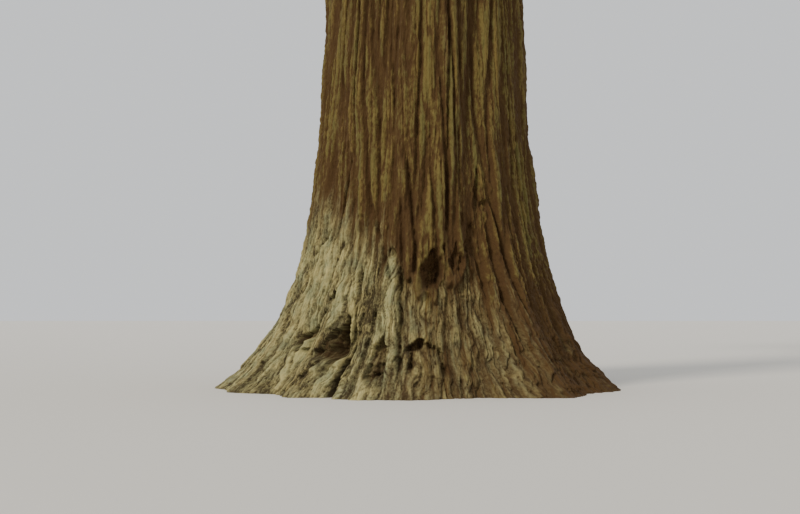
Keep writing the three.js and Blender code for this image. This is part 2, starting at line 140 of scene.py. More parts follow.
BARE_SHARE = 0.3

# Twigs turn round their limb by the golden angle, and each carries flat fronds of sprays.
FEWEST_TWIGS = 3.6
MOST_TWIGS = 6.6
FINER_TWIGS = 4  # twigs here for each one of the frame's
FIRST_TWIG = 0.13
LAST_TWIG = 0.97
TWIG_LENGTH = 0.46
TWIG_SHORTENING = 0.5
TWIG_SPREAD = 0.4
TWIG_ANGLE = math.radians(56)
TWIG_RADIUS = 0.055 * METRE
TWIG_TIP_RADIUS = 0.02 * METRE
TWIG_DROOP = 0.22
TWIG_BOW = 0.5
FROND_LENGTH = 3.9 * METRE
FROND_SHRINKING = 0.35
FROND_WIDTH = 0.8
FROND_SPREAD = 0.3
FROND_DROOP = 0.42
FROND_ANGLE = math.radians(48)
FROND_ROLL = 1.5
STEM_FROND = 0.9
SIDE_FROND = 0.8
SHORTER = (1, 0.85, 0.72, 0.6, 0.5, 0.4)
FROND_SHARES = (0.35, 0.6, 0.82)  # of the twig, where fronds leave it
FROND_SAG = 0.13
FROND_PARTS = ("limb", "root", "direction", "width", "normal", "length")
TWIG_MARKS = np.array([0.35, 0.6, 0.8, 1])[:, None]  # shares of the twig that have to be free
MIXING = 0.25  # how far fronds of neighbouring limbs reach into each other
LIMB_MARGIN = 0.03
NEEDLE_ROOM = np.array([0.1, 0.1, 0.0])  # kept free inside the frame's box
FINE_START = 0.35  # share of the bare stretch after which fine twigs begin
TRUNK_MARGIN = 0.3 * METRE
SEGMENTS = 5
WITHIN_TRUNK = 0.12

LEADER_LENGTH = 0.85 * METRE
LEADER_RADIUS = 0.1 * METRE
LEADER_SPRAYS = 5
LEADER_SPRAY = 1.15 * METRE
LEADER_RISE = 0.9
LEADER_BARE = 0.25
LEADER_FINE = 30  # fine fronds below the leader

UP = np.array([0.0, 0.0, 1.0])


def chance(limb, twig, use):
    """A fixed number from 0 to 1 for each limb, twig and use: the fraction of a steep sine."""
    wave = np.sin(limb * 12.9898 + twig * 78.233 + use * 37.719) * 43758.5453
    return wave - np.floor(wave)


def spread(width, limb, twig, use):
    """A number spread evenly about 0, as wide as asked."""
    return width * (chance(limb, twig, use) - 0.5)


def lerp(low, high, share):
    return low + (high - low) * share


def smooth_step(low, high, value):
    """0 below low, 1 above high, and a smooth cubic between them."""
    share = np.clip((value - low) / (high - low), 0, 1)
    return share * share * (3 - 2 * share)


def unit(vectors):
    return vectors / np.linalg.norm(vectors, axis=-1, keepdims=True)


def circle(angle, *height):
    """Points of a circle of radius 1, with a height where one is given."""
    return np.stack([np.cos(angle), np.sin(angle), *height], -1)


def even_angles(corners):
    return 2 * np.pi * np.arange(corners) / corners


def bump(off):
    """A bell of height 1: the exponential of minus a square."""
    return np.exp(-(off**2))


def turn_between(start, bearing):
    """How far a bearing is from another, in degrees, the short way round."""
    return (bearing - start + 180) % 360 - 180


NOISE_SIZE = 256
NOISE_STREAM = np.random.default_rng(90)
NOISE_ORDER = NOISE_STREAM.permutation(NOISE_SIZE)
NOISE_SLOPES = unit(NOISE_STREAM.normal(size=(NOISE_SIZE, 3)))


def noise(points, seed=0):
    """Gradient noise from about -1 to 1. Each lattice corner has a slope, and the slopes' planes are
    blended over the cell by the quintic 6t^5 - 15t^4 + 10t^3."""
    cell = np.floor(points).astype(int)
    inside = points - cell
    blend = inside**3 * (inside * (inside * 6 - 15) + 10)
    total = np.zeros(points.shape[:-1])
    for corner in np.ndindex(2, 2, 2):
        at = cell + corner
        order = NOISE_ORDER[(at[..., 0] + 17 * seed) % NOISE_SIZE]
        order = NOISE_ORDER[(order + at[..., 1]) % NOISE_SIZE]
        order = NOISE_ORDER[(order + at[..., 2]) % NOISE_SIZE]
        plane = ((inside - corner) * NOISE_SLOPES[order]).sum(-1)
        weight = np.where(corner, blend, 1 - blend).prod(-1)
        total += weight * plane
    return 1.6 * total


# The tree's rule, the same as the frame's.


def trunk_centre(height):
    """The trunk's centre at a height: upright at the ground, with a slight sway in the crown."""
    share = height / HEIGHT
    swing = share**2 * SWAY
    turn = 2 * np.pi * SWAY_TURNS * share
    return np.stack([swing * np.sin(turn), swing * SWAY_DEPTH * np.sin(turn + SWAY_LAG), height], -1)


def mean_radius(height):
    """Stem radius times the share of height left to a power, plus two flares that fade exponentially."""
    stem = STEM_RADIUS * np.maximum(1 - height / HEIGHT, 0) ** STEM_TAPER
    return stem + FLARE * np.exp(-height / FLARE_HEIGHT) + TOE * np.exp(-height / TOE_HEIGHT)


PROFILE_HEIGHTS = np.linspace(0, HEIGHT, 4001)
PROFILE_STEPS = np.hypot(np.diff(PROFILE_HEIGHTS), np.diff(mean_radius(PROFILE_HEIGHTS)))
PROFILE_LENGTHS = np.concatenate([[0], np.cumsum(PROFILE_STEPS)])


def trunk_radius(angle, height):
    """The mean radius, with flutes as cosines of the angle, a bump for each root and a dent for each
    hollow."""
    bearing = np.degrees(angle) + 90
    wander = height / FLUTE_TURN
    flute = (1 - FINE_SHARE) * np.cos(FLUTES * angle + wander)
    fine_flute = FINE_SHARE * np.cos(FINE_FLUTES * angle - wander)
    radius = mean_radius(height) * (1 + FLUTE_DEPTH * (flute + fine_flute))
    for middle, width, reach, rise in ROOTS:
        off = turn_between(middle, bearing) / width
        radius += reach * METRE * bump(off) * np.exp(-height / (rise * METRE))
    for middle, width, level, tall, depth in HOLLOWS:
        off = turn_between(middle, bearing) / width
        radius -= depth * METRE * bump(off) * bump((height / METRE - level) / tall)
    return radius


def crown_reach(share):
    """Reach of the crown from the trunk's centre at a share of the crown's height."""
    low = lerp(CROWN_LOW_SHARE, 1, smooth_step(0, CROWN_WIDEST, share))
    return CROWN_RADIUS * low * (1 - CROWN_CLOSING * share * share) ** CROWN_ROUNDNESS


def limb_plans():
    """Where each limb leaves the trunk, which way it goes, and how it bends, as arrays over the limbs."""
    limb = np.arange(LIMBS)
    climbed = 1 - (1 - limb / (LIMBS - 1)) ** HEIGHT_CROWDING
    height = lerp(CROWN_BASE, CROWN_TOP, climbed)
    angle = GOLDEN_ANGLE * limb + spread(ANGLE_SPREAD, limb, 0, 1)
    rooted = ROOT_DEPTH * mean_radius(height)
    reach = crown_reach(climbed) * (1 + spread(REACH_SPREAD, limb, 0, 2))
    length = np.maximum(reach - rooted, SHORTEST_LIMB)
    bare = BARE_SHARE + (mean_radius(height) - rooted) / length
    outward = circle(angle, 0 * angle)
    return {
        "root": trunk_centre(height) + outward * rooted[:, None],
        "outward": outward,
        "sideways": np.stack([-np.sin(angle), np.cos(angle), 0 * angle], -1),
        "length": length,
        "rise": lerp(RISE_LOWEST, RISE_HIGHEST, climbed**2) + spread(RISE_SPREAD, limb, 0, 3),
        "sag": SAG * (1 - climbed),
        "bend": spread(BEND_SPREAD, limb, 0, 4),
        "radius": lerp(LIMB_TIP_RADIUS, LIMB_RADIUS, np.sqrt(length / CROWN_RADIUS)),
        "bare": np.where(limb < BOUGHS, bare, 0),
    }


PLANS = limb_plans()


def limb_point(limb, share):
    """A limb's line: out from the trunk, sagging by 4s(1 - s), and bending sideways by s squared."""
    limb, share = np.broadcast_arrays(limb, share)
    plan = {name: values[limb] for name, values in PLANS.items()}
    climb = plan["rise"] * share - 4 * plan["sag"] * share * (1 - share)
    steps = np.stack([share, plan["bend"] * share**2, climb], -1) * plan["length"][..., None]
    ways = np.stack(np.broadcast_arrays(plan["outward"], plan["sideways"], UP), -2)
    return plan["root"] + (steps[..., None] * ways).sum(-2)


def limb_direction(limb, share):
    step = 0.01
    return unit(limb_point(limb, share + step) - limb_point(limb, share - step))


def limb_radius(limb, share):
    collar = np.where(PLANS["bare"][limb] > 0, COLLAR * np.exp(-share / COLLAR_LENGTH), 0)
    return (1 + collar) * lerp(PLANS["radius"][limb], LIMB_TIP_RADIUS, share**LIMB_FULLNESS)


def across(direction):
    """Two directions square to a line, the first of them level."""
    level = np.cross(UP, direction)
    level = np.where((level**2).sum(-1, keepdims=True) < 0.01, [1.0, 0, 0], level)
    level = unit(level)
    return level, unit(np.cross(direction, level))


def limb_lines(starts, ends):
    """Each limb's curve as straight stretches, from a share of its length to another."""
    marks = np.linspace(starts, ends, SEGMENTS + 1).T
    points = limb_point(np.arange(len(starts))[:, None], marks)
    return points[:, :-1], points[:, 1:]


STEM_LINES = limb_lines(np.maximum(PLANS["bare"], WITHIN_TRUNK), np.ones(LIMBS))
BOUGH_LINES = limb_lines(np.zeros(BOUGHS), PLANS["bare"][:BOUGHS])
LEADER_ROOT = trunk_centre(np.array(TRUNK_TOP)) + UP * LEADER_LENGTH / 2


def distances(lines, points):
    """Distance from each point to each line, the least over the line's straight stretches."""
    starts, ends = lines
    least = np.full((len(points), len(starts)), np.inf)
    for segment in range(SEGMENTS):
        start = starts[:, segment]
        stretch = ends[:, segment] - start
        offset = points[:, None] - start
        along = np.clip((offset * stretch).sum(-1) / (stretch**2).sum(-1), 0, 1)
        gap = offset - along[..., None] * stretch
        least = np.minimum(least, np.sqrt((gap**2).sum(-1)))
    return least


def is_free(limb, points):
    """True where a point is about as near to its own limb's stem as to any other, clear of boughs and
    trunk, and within the frame's box."""
    inside = ((points > CAD_BOX[0] + NEEDLE_ROOM) & (points < CAD_BOX[1] - NEEDLE_ROOM)).all(1)
    middle = trunk_centre(points[:, 2])
    away = np.linalg.norm(points - middle, axis=1)
    free = away >= mean_radius(points[:, 2]) * (1 + FLUTE_DEPTH) + TRUNK_MARGIN
    stems = distances(STEM_LINES, points)
    rows = np.arange(len(points))
    own = stems[rows, limb] - MIXING
    stems[rows, limb] = np.inf
    free &= (stems.min(1) >= own) & (np.linalg.norm(points - LEADER_ROOT, axis=1) >= own)
    return free & inside & (distances(BOUGH_LINES, points) > PLANS["radius"][:BOUGHS] + LIMB_MARGIN).all(1)


def all_free(limb, samples):
    """True for each row of samples that is free all over, worked out a few thousand rows at a time."""
    parts = [np.zeros(0, bool)]
    for start in range(0, len(samples), 2000):
        part = samples[start : start + 2000]
        owners = np.repeat(limb[start : start + 2000], part.shape[1])
        parts.append(is_free(owners, part.reshape(-1, 3)).reshape(part.shape[:2]).all(1))
    return np.concatenate(parts)


def twig_point(root, direction, length, share):
    """A twig's line: straight out, and bowed upwards by s(1 - s)."""
    bow = across(direction)[1] * (TWIG_BOW * length * share * (1 - share))[..., None]
    return root + direction * (length * share)[..., None] + bow


def twig_plans():
    """Side twigs: each leaves its limb at a share of its length, turned round it by the golden angle."""
    counts = np.round(lerp(FEWEST_TWIGS, MOST_TWIGS, PLANS["length"] / CROWN_RADIUS)).astype(int)
    limb = np.repeat(np.arange(LIMBS), counts * FINER_TWIGS)
    number = np.concatenate([np.arange(count * FINER_TWIGS) for count in counts]) / FINER_TWIGS
    along = lerp(FIRST_TWIG, LAST_TWIG, number / counts[limb])
    start = PLANS["bare"][limb] * np.where(number % 1, FINE_START, 1)
    share = lerp(start, 1, along)
    stem = limb_direction(limb, share)
    level, upright = across(stem)
    roll = (GOLDEN_ANGLE * number + 2 * np.pi * chance(limb, 0, 5))[:, None]
    around = level * np.cos(roll) + upright * np.sin(roll)
    direction = unit(stem * math.cos(TWIG_ANGLE) + around * math.sin(TWIG_ANGLE) - UP * TWIG_DROOP)
    shortening = (1 - TWIG_SHORTENING * along) * (1 + spread(TWIG_SPREAD, limb, number, 6))
    length = TWIG_LENGTH * PLANS["length"][limb] * shortening
    root = limb_point(limb, share)
    twigs = {"limb": limb, "number": number, "root": root, "direction": direction, "length": length}
    kept = all_free(limb, root[:, None] + direction[:, None] * length[:, None, None] * TWIG_MARKS)
    return {name: values[kept] for name, values in twigs.items()}


def frond_axes(heading, side, roll):
    """A frond's direction, width and normal: side turns it from the heading, and it droops and rolls."""
    sideways = across(heading)[0]
    turn = (FROND_ANGLE * side)[:, None]
    direction = unit(heading * np.cos(turn) + sideways * np.sin(turn) - UP * FROND_DROOP)
    level, upright = across(direction)
    width = level * np.cos(roll)[:, None] + upright * np.sin(roll)[:, None]
    return direction, width, np.cross(direction, width)


def frond_half_width(along):
    """Half the frond's width at a share of its length: opening, even, and closing to its tip."""
    return 0.5 * FROND_WIDTH * np.minimum(1, np.minimum(3.4 * along, 2.6 * (1.02 - along)))


def fitted_fronds(limb, root, heading, side, length, use):
    """Fronds at the greatest of a few lengths that keeps to the limb's own space; the rest are left out."""
    grown = length * (1 + spread(FROND_SPREAD, limb, use, 7))
    direction, width, normal = frond_axes(heading, side, spread(FROND_ROLL, limb, use, 8))
    along = np.repeat(np.arange(2, 11) / 10, 5)
    sideways = frond_half_width(along) * np.tile([-1, -0.5, 0, 0.5, 1], 9)
    shape = direction[:, None] * along[:, None] + width[:, None] * sideways[:, None]
    fitted = np.zeros(len(limb))
    for shorter in SHORTER:
        left = np.flatnonzero(fitted == 0)
        size = (grown[left] * shorter)[:, None, None]
        free = all_free(limb[left], root[left, None] + shape[left] * size)
        fitted[left[free]] = grown[left[free]] * shorter
    fronds = dict(zip(FROND_PARTS, (limb, root, direction, width, normal, fitted)))
    return {name: values[fitted > 0] for name, values in fronds.items()}


def frond_plans(twigs):
    """Fronds at each stem's tip, at each twig's tip, and on both sides of each twig."""
    everyone = np.arange(LIMBS)
    ones = np.ones(LIMBS)
    size = FROND_LENGTH * (PLANS["length"] / CROWN_RADIUS) ** FROND_SHRINKING
    tips = limb_point(everyone, ones), limb_direction(everyone, ones)
    groups = [fitted_fronds(everyone, *tips, 0 * ones, STEM_FROND * size, -1)]
    limb, number, root, heading = (twigs[name] for name in ("limb", "number", "root", "direction"))
    reach = heading * twigs["length"][:, None]
    groups.append(fitted_fronds(limb, root + reach, heading, 0 * number, size[limb], 2 * number))
    for share in FROND_SHARES:
        for side in (-1, 1):
            turn = np.where(np.floor(number) % 2, side, -side)
            use = 2 * number + side + 10 * (share - 0.6)
            foot = twig_point(root, heading, twigs["length"], share)
            groups.append(fitted_fronds(limb, foot, heading, turn, SIDE_FROND * size[limb], use))
    return {name: np.concatenate([group[name] for group in groups]) for name in groups[0]}


def leader_fronds():
    """The leader's rising fronds, turned by the golden angle; finer ones go down the bare top of the
    trunk and grow longer downwards; the topmost one ends at the full height."""
    number = np.arange(-LEADER_FINE, LEADER_SPRAYS * 2) / 2
    angle = GOLDEN_ANGLE * number
    climb = lerp(LEADER_BARE, 1, number / LEADER_SPRAYS)
    rise = LEADER_RISE * np.clip(1 + 0.4 * climb, 0, 1)
    direction = unit(circle(angle, rise))
    foot = trunk_centre(np.array(TRUNK_TOP))
    root = foot + UP * (LEADER_LENGTH * climb)[:, None]
    top = foot + UP * LEADER_LENGTH
    direction = np.vstack([direction, UP])
    width, normal = across(direction)
    length = LEADER_SPRAY * np.clip(1.05 - 0.3 * climb, 0.75, 1.6)
    length = np.append(length, HEIGHT - top[2])
    limb = np.full(len(length), LIMBS)
    values = limb, np.vstack([root, top]), direction, width, normal, length
    return dict(zip(FROND_PARTS, values))


# The bark's relief. Bearings are in degrees from the front.

# Heights in metres up to which the bark is weathered pale and fine, by bearing.
WEATHERED_HEIGHTS = {
    -180: 1.3, -140: 1.1, -90: 1.4, -60: 1.54, -42: 1.48, -22: 1.3, -12: 1.17, -5: 1.06, 0: 0.98,
    5: 1.0, 10: 1.14, 15: 1.2, 20: 1.33, 30: 1.0, 45: 0.6, 90: 0.6, 140: 1.0, 180: 1.3
}
EDGE_FADING = (0.6, -0.5)  # metres above that edge at which the weathered bark is gone and whole

# How much of that bark is pale, by bearing.
PALE_SHARES = {
    -180: 0.75, -140: 0.85, -100: 1, -15: 1, -10.5: 0.72, -2: 0.43, 25: 0.4,
    45: 0.16, 90: 0.2, 140: 0.6, 180: 0.75
}

# The skirt of the red bark, which ends there in a step: its share by bearing.
SKIRT_SHARES = {-17: 0, -9: 1, 19: 1, 27: 0}
SKIRT_STEP = 0.05
SKIRT_SHARPNESS = 3  # how many times more sharply the two barks part there

# Painted shade on the right side of the foot, darkening the bark's colour there: how much it darkens, how
# much more it is furrowed, its bearing and spread, and the heights where it is gone and whole.
SHADE_DARKENING = 0.42
SHADE_FURROWED = 0.5
SHADE_BEARING = 62
SHADE_SPREAD = 38
SHADE_HEIGHTS = (2.0, 0.6)

# Less furrow tone on the right side, which widens the ridges' colour there: how much, its bearing and spread.
RIDGE_LIFT = 0.15
RIDGE_LIFT_BEARING = 34
RIDGE_LIFT_SPREAD = 26

# Pockets: bearing and half width in degrees, height, half height and depth in metres, lean in degrees to
# the metre, and how much narrower they grow upwards.
POCKETS = (
    (-31.2, 2.1, 0.51, 0.17, 0.22, 5, 0.4),
    (-34, 3, 0.47, 0.13, 0.07, 12, 0.5),
    (-50, 1.8, 0.55, 0.045, 0.09, 20, 0.5),
    (-51.4, 1, 0.46, 0.06, 0.07, 0, 0),
    (-48, 2, 0.4, 0.022, 0.06, 0, 0),
    (-14.2, 1.9, 0.44, 0.018, 0.05, 90, 0),
    (-13.8, 2.4, 0.29, 0.14, 0.08, 4, 0.3),
    (-2.6, 2.3, 0.45, 0.05, 0.08, 30, 0.2),
    (2.6, 3.4, 0.4, 0.05, 0.035, 0, -0.3),
    (-3.6, 0.9, 0.34, 0.09, 0.06, 6, 0),
    (5.8, 1, 0.33, 0.11, 0.05, -8, 0),
    (3.4, 4.6, 1.13, 0.14, 0.078, 0, 0.1),
    (13.6, 3.4, 1.22, 0.1, 0.058, -8, -0.4),
    (-3.4, 1, 1.2, 0.08, 0.045, 0, 0),
    (19.5, 2, 1.38, 0.07, 0.05, 0, -0.4),
    (22.6, 2.2, 1.43, 0.12, 0.05, 0, -0.4),
    (27, 1.3, 1.86, 0.17, 0.05, 6, 0.2),
    (30.2, 1.5, 1.77, 0.045, 0.045, 0, 0),
    (-13.4, 1.5, 1.31, 0.045, 0.04, 0, 0),
    (-29.4, 1.6, 1.65, 0.032, 0.03, 0, 0),
    (-38, 1.6, 0.9, 0.05, 0.04, 30, 0.2),
    (118, 3.5, 0.5, 0.2, 0.14, 0, 0.5),
    (-150, 3, 0.75, 0.25, 0.12, -4, 0.5),
    (172, 2.6, 1.9, 0.2, 0.05, 5, 0.2),
)
POCKET_POWER = 3  # of the oval that bounds a pocket
POCKET_SIZE = 1.05
POCKET_WALLS = (0.42, 0.12)  # their widths at its foot and its top, as shares of the pocket
FRINGE_DEPTH = 0.9  # of the torn strips at its top, as a share of its half height

# Knobs and single ridges: bearings at the bottom and top, heights and height of the bulge in metres, and
# half width in degrees.
KNOBS = (
    (-49.6, -48.8, 0.42, 0.54, 0.06, 1.6),
    (-33, -29.5, 0.26, 0.31, 0.04, 2.6),
    (-9.2, -11.2, -0.1, 0.95, 0.055, 2.2),
    (-23.6, -25.5, 0, 0.75, 0.05, 1.5),
    (2, 1.4, 0.22, 0.36, 0.04, 2.6),
    (3.4, 2.6, 0.5, 0.52, 0.035, 3.6),
    (-29.6, -29.2, 1.56, 1.62, 0.04, 1.8),
    (8.2, 8.6, 1.05, 1.2, 0.05, 0.7),
    (-13.6, -13.4, 1.22, 1.27, 0.03, 1.5),
)
KNOB_END = 0.045  # metres over which a knob fades out at its ends
KNOB_FADING = 0.25  # the same as a share of a long ridge

# Long furrows deeper than the rest: bearings at the bottom and top, heights and depth in metres.
LONG_FURROWS = (
    (-25.6, -25, -0.1, 0.44, 0.13),
    (-49.2, -39, 0.57, 0.78, 0.07),
    (-6.4, -9, 0.2, 1.1, 0.06),
    (-11.4, -14.6, 0, 0.62, 0.05),
    (-40.5, -33, 0, 0.36, 0.05),
    (-45.5, -37.5, 1.45, 2.25, 0.07),
    (11.3, 13.6, 1.35, 3.9, 0.05),
    (18.4, 17.6, 1.5, 2.6, 0.045),
    (-19.5, -18, 0, 0.8, 0.05),
    (35, 30, 0.4, 1.7, 0.05),
    (-1.8, -9, 1.25, 2.3, 0.05),
    (-12.7, -25.5, 1.02, 1.78, 0.045),
    (-26, -27, 0.68, 1.2, 0.04),
    (-58, -50, 1.3, 1.55, 0.045),
    (-46, -38.5, 0.8, 1.36, 0.045),
    (-8.1, -10.8, 1.1, 1.85, 0.04),
    (27, 22.5, 0.9, 1.6, 0.045),
    (41, 34, 0.7, 1.9, 0.05),
)
LONG_FURROW_WIDTH = 1.0  # degrees

# Patterns of strips: how many go round the trunk, how long they run in metres, the sharpness of the furrows
# between them, and a seed.
STRIPS = (58, 1.9, 0.17, 7)
SPLITS = (140, 0.8, 0.2, 8)
FIBRES = (380, 0.36, 0.22, 9)
OLD_STRIPS = (70, 0.9, 0.16, 11)
OLD_SPLITS = (165, 0.42, 0.11, 12)
OLD_FIBRES = (420, 0.17, 0.16, 13)
FRINGE = (150, 0.9, 0.0, 24)
BROAD = 0.85  # share of broad furrows between level ridges
OLD_BROAD = 0.2
BROAD_SIDES = (0.03, 0.4)
IN_FURROWS = 0.4  # depth of a split in a furrow, as a share of its depth on a ridge

# Layers of noise: height, cells to the radian round the trunk and to the metre along it, and a seed.
WANDERING = ((0.05, 1.7, 0.6, 1), (0.012, 8, 1.6, 2), (0.005, 24, 5, 22))
WAVES = ((0.045, 3.5, 2.2, 23), (0.022, 7, 4.5, 3), (0.011, 19, 9, 4))
EDGE_WAVE = ((0.16, 2.5, 0.4, 6),)
EDGE_TEETH = ((1, 19, 0.5, 5),)
TEETH_HEIGHTS = (0.34, 0.13)  # beside the skirt and on it
SWELLINGS = ((1, 6, 0.625, 10),)
CRUMBS = ((1, 30, 10, 17), (0.9, 70, 26, 18))
LUMPS = ((1, 8, 6, 14), (0.6, 19, 12, 15))
KNOBBLES = ((1, 42, 24, 19),)
RAGGED = ((0.45, 13, 8, 16), (0.25, 50, 7, 20))

# Weights in the relief, as shares of the furrows' depth, and in the tone, where more is darker.
RED_RELIEF = (-0.94, -1, -0.14, 0.4, 0.2)  # strips, splits, fibres, swellings, crumbs
RED_TONE = (0.6, 0.85, -0.1, -0.22)  # strips, squared splits, swellings, crumbs
OLD_RELIEF = (-0.6, -0.6, -0.34, 0.3, 0.12, 0.1, 0.12)  # strips, splits, fibres, lumps, knobbles, two steps
# In the weathered bark this tone darkens the creases: partly dirt, partly painted shade.
OLD_TONE = (0.5, 0.8, 0.5, -0.15)  # strips, splits, fibres, lumps
TORN_RELIEF = (0.5, 0.5, -0.4)  # lumps, knobbles, splits
SPLIT_DEPTHS = (0.4, 0.8)  # of the red bark's splits, above the first and below the second height
SPLIT_HEIGHTS = (1.6, 0.4)
# Painted shade: the hollows' colour darkens by this much for each metre of their depth.
HOLLOW_SHADE = 5.5  # to the metre
KNOB_TONE = -4
RAISED = 0.35  # the whole relief, as a share of the depth
STEEPEST = 1.5  # slope of the flare up to which the relief grows with it
RUST_ABOVE = 0.45  # metres above the skirt's edge over which the rust fades


def by_bearing(bearing, values):
    """Straight lines between the values at given bearings."""
    return np.interp(bearing, list(values), list(values.values()))


def mixed(weights, *parts):
    """The sum of the parts, each times its weight."""
    return sum(weight * part for weight, part in zip(weights, parts, strict=True))


def layers(turned, length, rows):
    """The sum of layers of noise on the trunk."""
    place = circle(turned, length)
    return sum(height * noise(place * [around, around, along], seed) for height, around, along, seed in rows)


def strip_noise(turned, length, pattern):
    """Noise drawn out along the trunk: its long wandering lines of zero are the furrows."""
    around, long, _, seed = pattern
    return layers(turned, length, [(1, around / (2 * np.pi), 1 / long, seed)])


def furrows(turned, length, pattern, broad=0.0):
    """1 in the furrows and towards 0 on the ridges: 1 - |n| / (|n| + sharpness), with n the pattern's noise.
    A share of it, broad, has a smooth step of |n| instead."""
    away = np.abs(strip_noise(turned, length, pattern))
    sharp = away / (away + pattern[2]) * (1 + 0.4 * pattern[2])
    return 1 - lerp(sharp, smooth_step(*BROAD_SIDES, away), broad)


def steps(turned, length, pattern):
    """-1 on one side of each furrow and 1 on the other: n / (|n| + half the sharpness)."""
    off = strip_noise(turned, length, pattern)
    return off / (np.abs(off) + pattern[2] / 2)


def red_bark(angle, turned, length, height):
    """Relief and tone of the red bark: strips, with splits that are shallower in the furrows, and fibres."""
    strips = furrows(turned, length, STRIPS, BROAD)
    splits = furrows(turned, length, SPLITS)
    swell = layers(turned, length, SWELLINGS)
    crumbs = layers(angle, length, CRUMBS)
    opened = splits * lerp(*SPLIT_DEPTHS, smooth_step(*SPLIT_HEIGHTS, height)) * lerp(1, IN_FURROWS, strips)
    relief = mixed(RED_RELIEF, strips, opened, furrows(turned, length, FIBRES), swell, crumbs)
    return relief, mixed(RED_TONE, strips, splits**2, swell, crumbs)


def weathered_bark(angle, turned, length):
    """Relief and tone of the weathered bark, which is finer and wavier, and the relief of torn wood."""
    wavy = turned + layers(angle, length, WAVES)
    strips = furrows(wavy, length, OLD_STRIPS, OLD_BROAD)
    splits = furrows(wavy, length, OLD_SPLITS)
    fibres = furrows(wavy, length, OLD_FIBRES)
    lumps = layers(angle, length, LUMPS)
    knobbles = layers(angle, length, KNOBBLES)
    parts = strips, splits * lerp(1, IN_FURROWS, strips), fibres, lumps, knobbles
    sides = steps(wavy, length, OLD_STRIPS), steps(wavy, length, OLD_SPLITS)
    tone = mixed(OLD_TONE, strips, splits, fibres, lumps)
    return mixed(OLD_RELIEF, *parts, *sides), tone, mixed(TORN_RELIEF, lumps, knobbles, splits)


def hollow_depth(bearing, height, wander, ragged, fringe):
    """Depth of the deepest pocket or long furrow. A pocket is an oval with a ragged wall, and its top is torn
    into a fringe; a long furrow is a bell across its line and fades out at its ends."""
    deepest = np.zeros(height.shape)
    for middle, wide, level, tall, deep, lean, taper in POCKETS:
        up = (height - level) / tall
        up = up + fringe * smooth_step(-0.3, 0.5, up)
        half = wide * (1 - taper * np.clip(up, -1, 1))
        aside = (turn_between(middle, bearing) - lean * tall * up) / half
        oval = (np.abs(aside) ** POCKET_POWER + np.abs(up) ** POCKET_POWER) ** (1 / POCKET_POWER)
        wall = lerp(*POCKET_WALLS, smooth_step(-0.2, 0.6, up))
        deepest = np.maximum(deepest, deep * smooth_step(wall, -wall, oval + ragged - POCKET_SIZE))
    for bottom, top, low, high, deep in LONG_FURROWS:
        share = (height - low) / (high - low)
        off = turn_between(lerp(bottom, top, share), bearing + 40 * wander) / LONG_FURROW_WIDTH
        ends = smooth_step(-0.1, 0.12, share) * smooth_step(1.1, 0.88, share)
        deepest = np.maximum(deepest, deep * bump(off + 0.5 * ragged) * ends)
    return deepest


def knob_height(bearing, height):
    """Height of the highest knob or single ridge: a bell across its line, and another beyond its ends."""
    highest = np.zeros(height.shape)
    for bottom, top, low, high, out, wide in KNOBS:
        share = (height - low) / (high - low)
        off = turn_between(lerp(bottom, top, share), bearing) / wide
        beyond = np.maximum(np.abs(share - 0.5) - 0.5, 0) / max(KNOB_END / (high - low), KNOB_FADING)
        highest = np.maximum(highest, out * bump(off) * bump(beyond))
    return highest


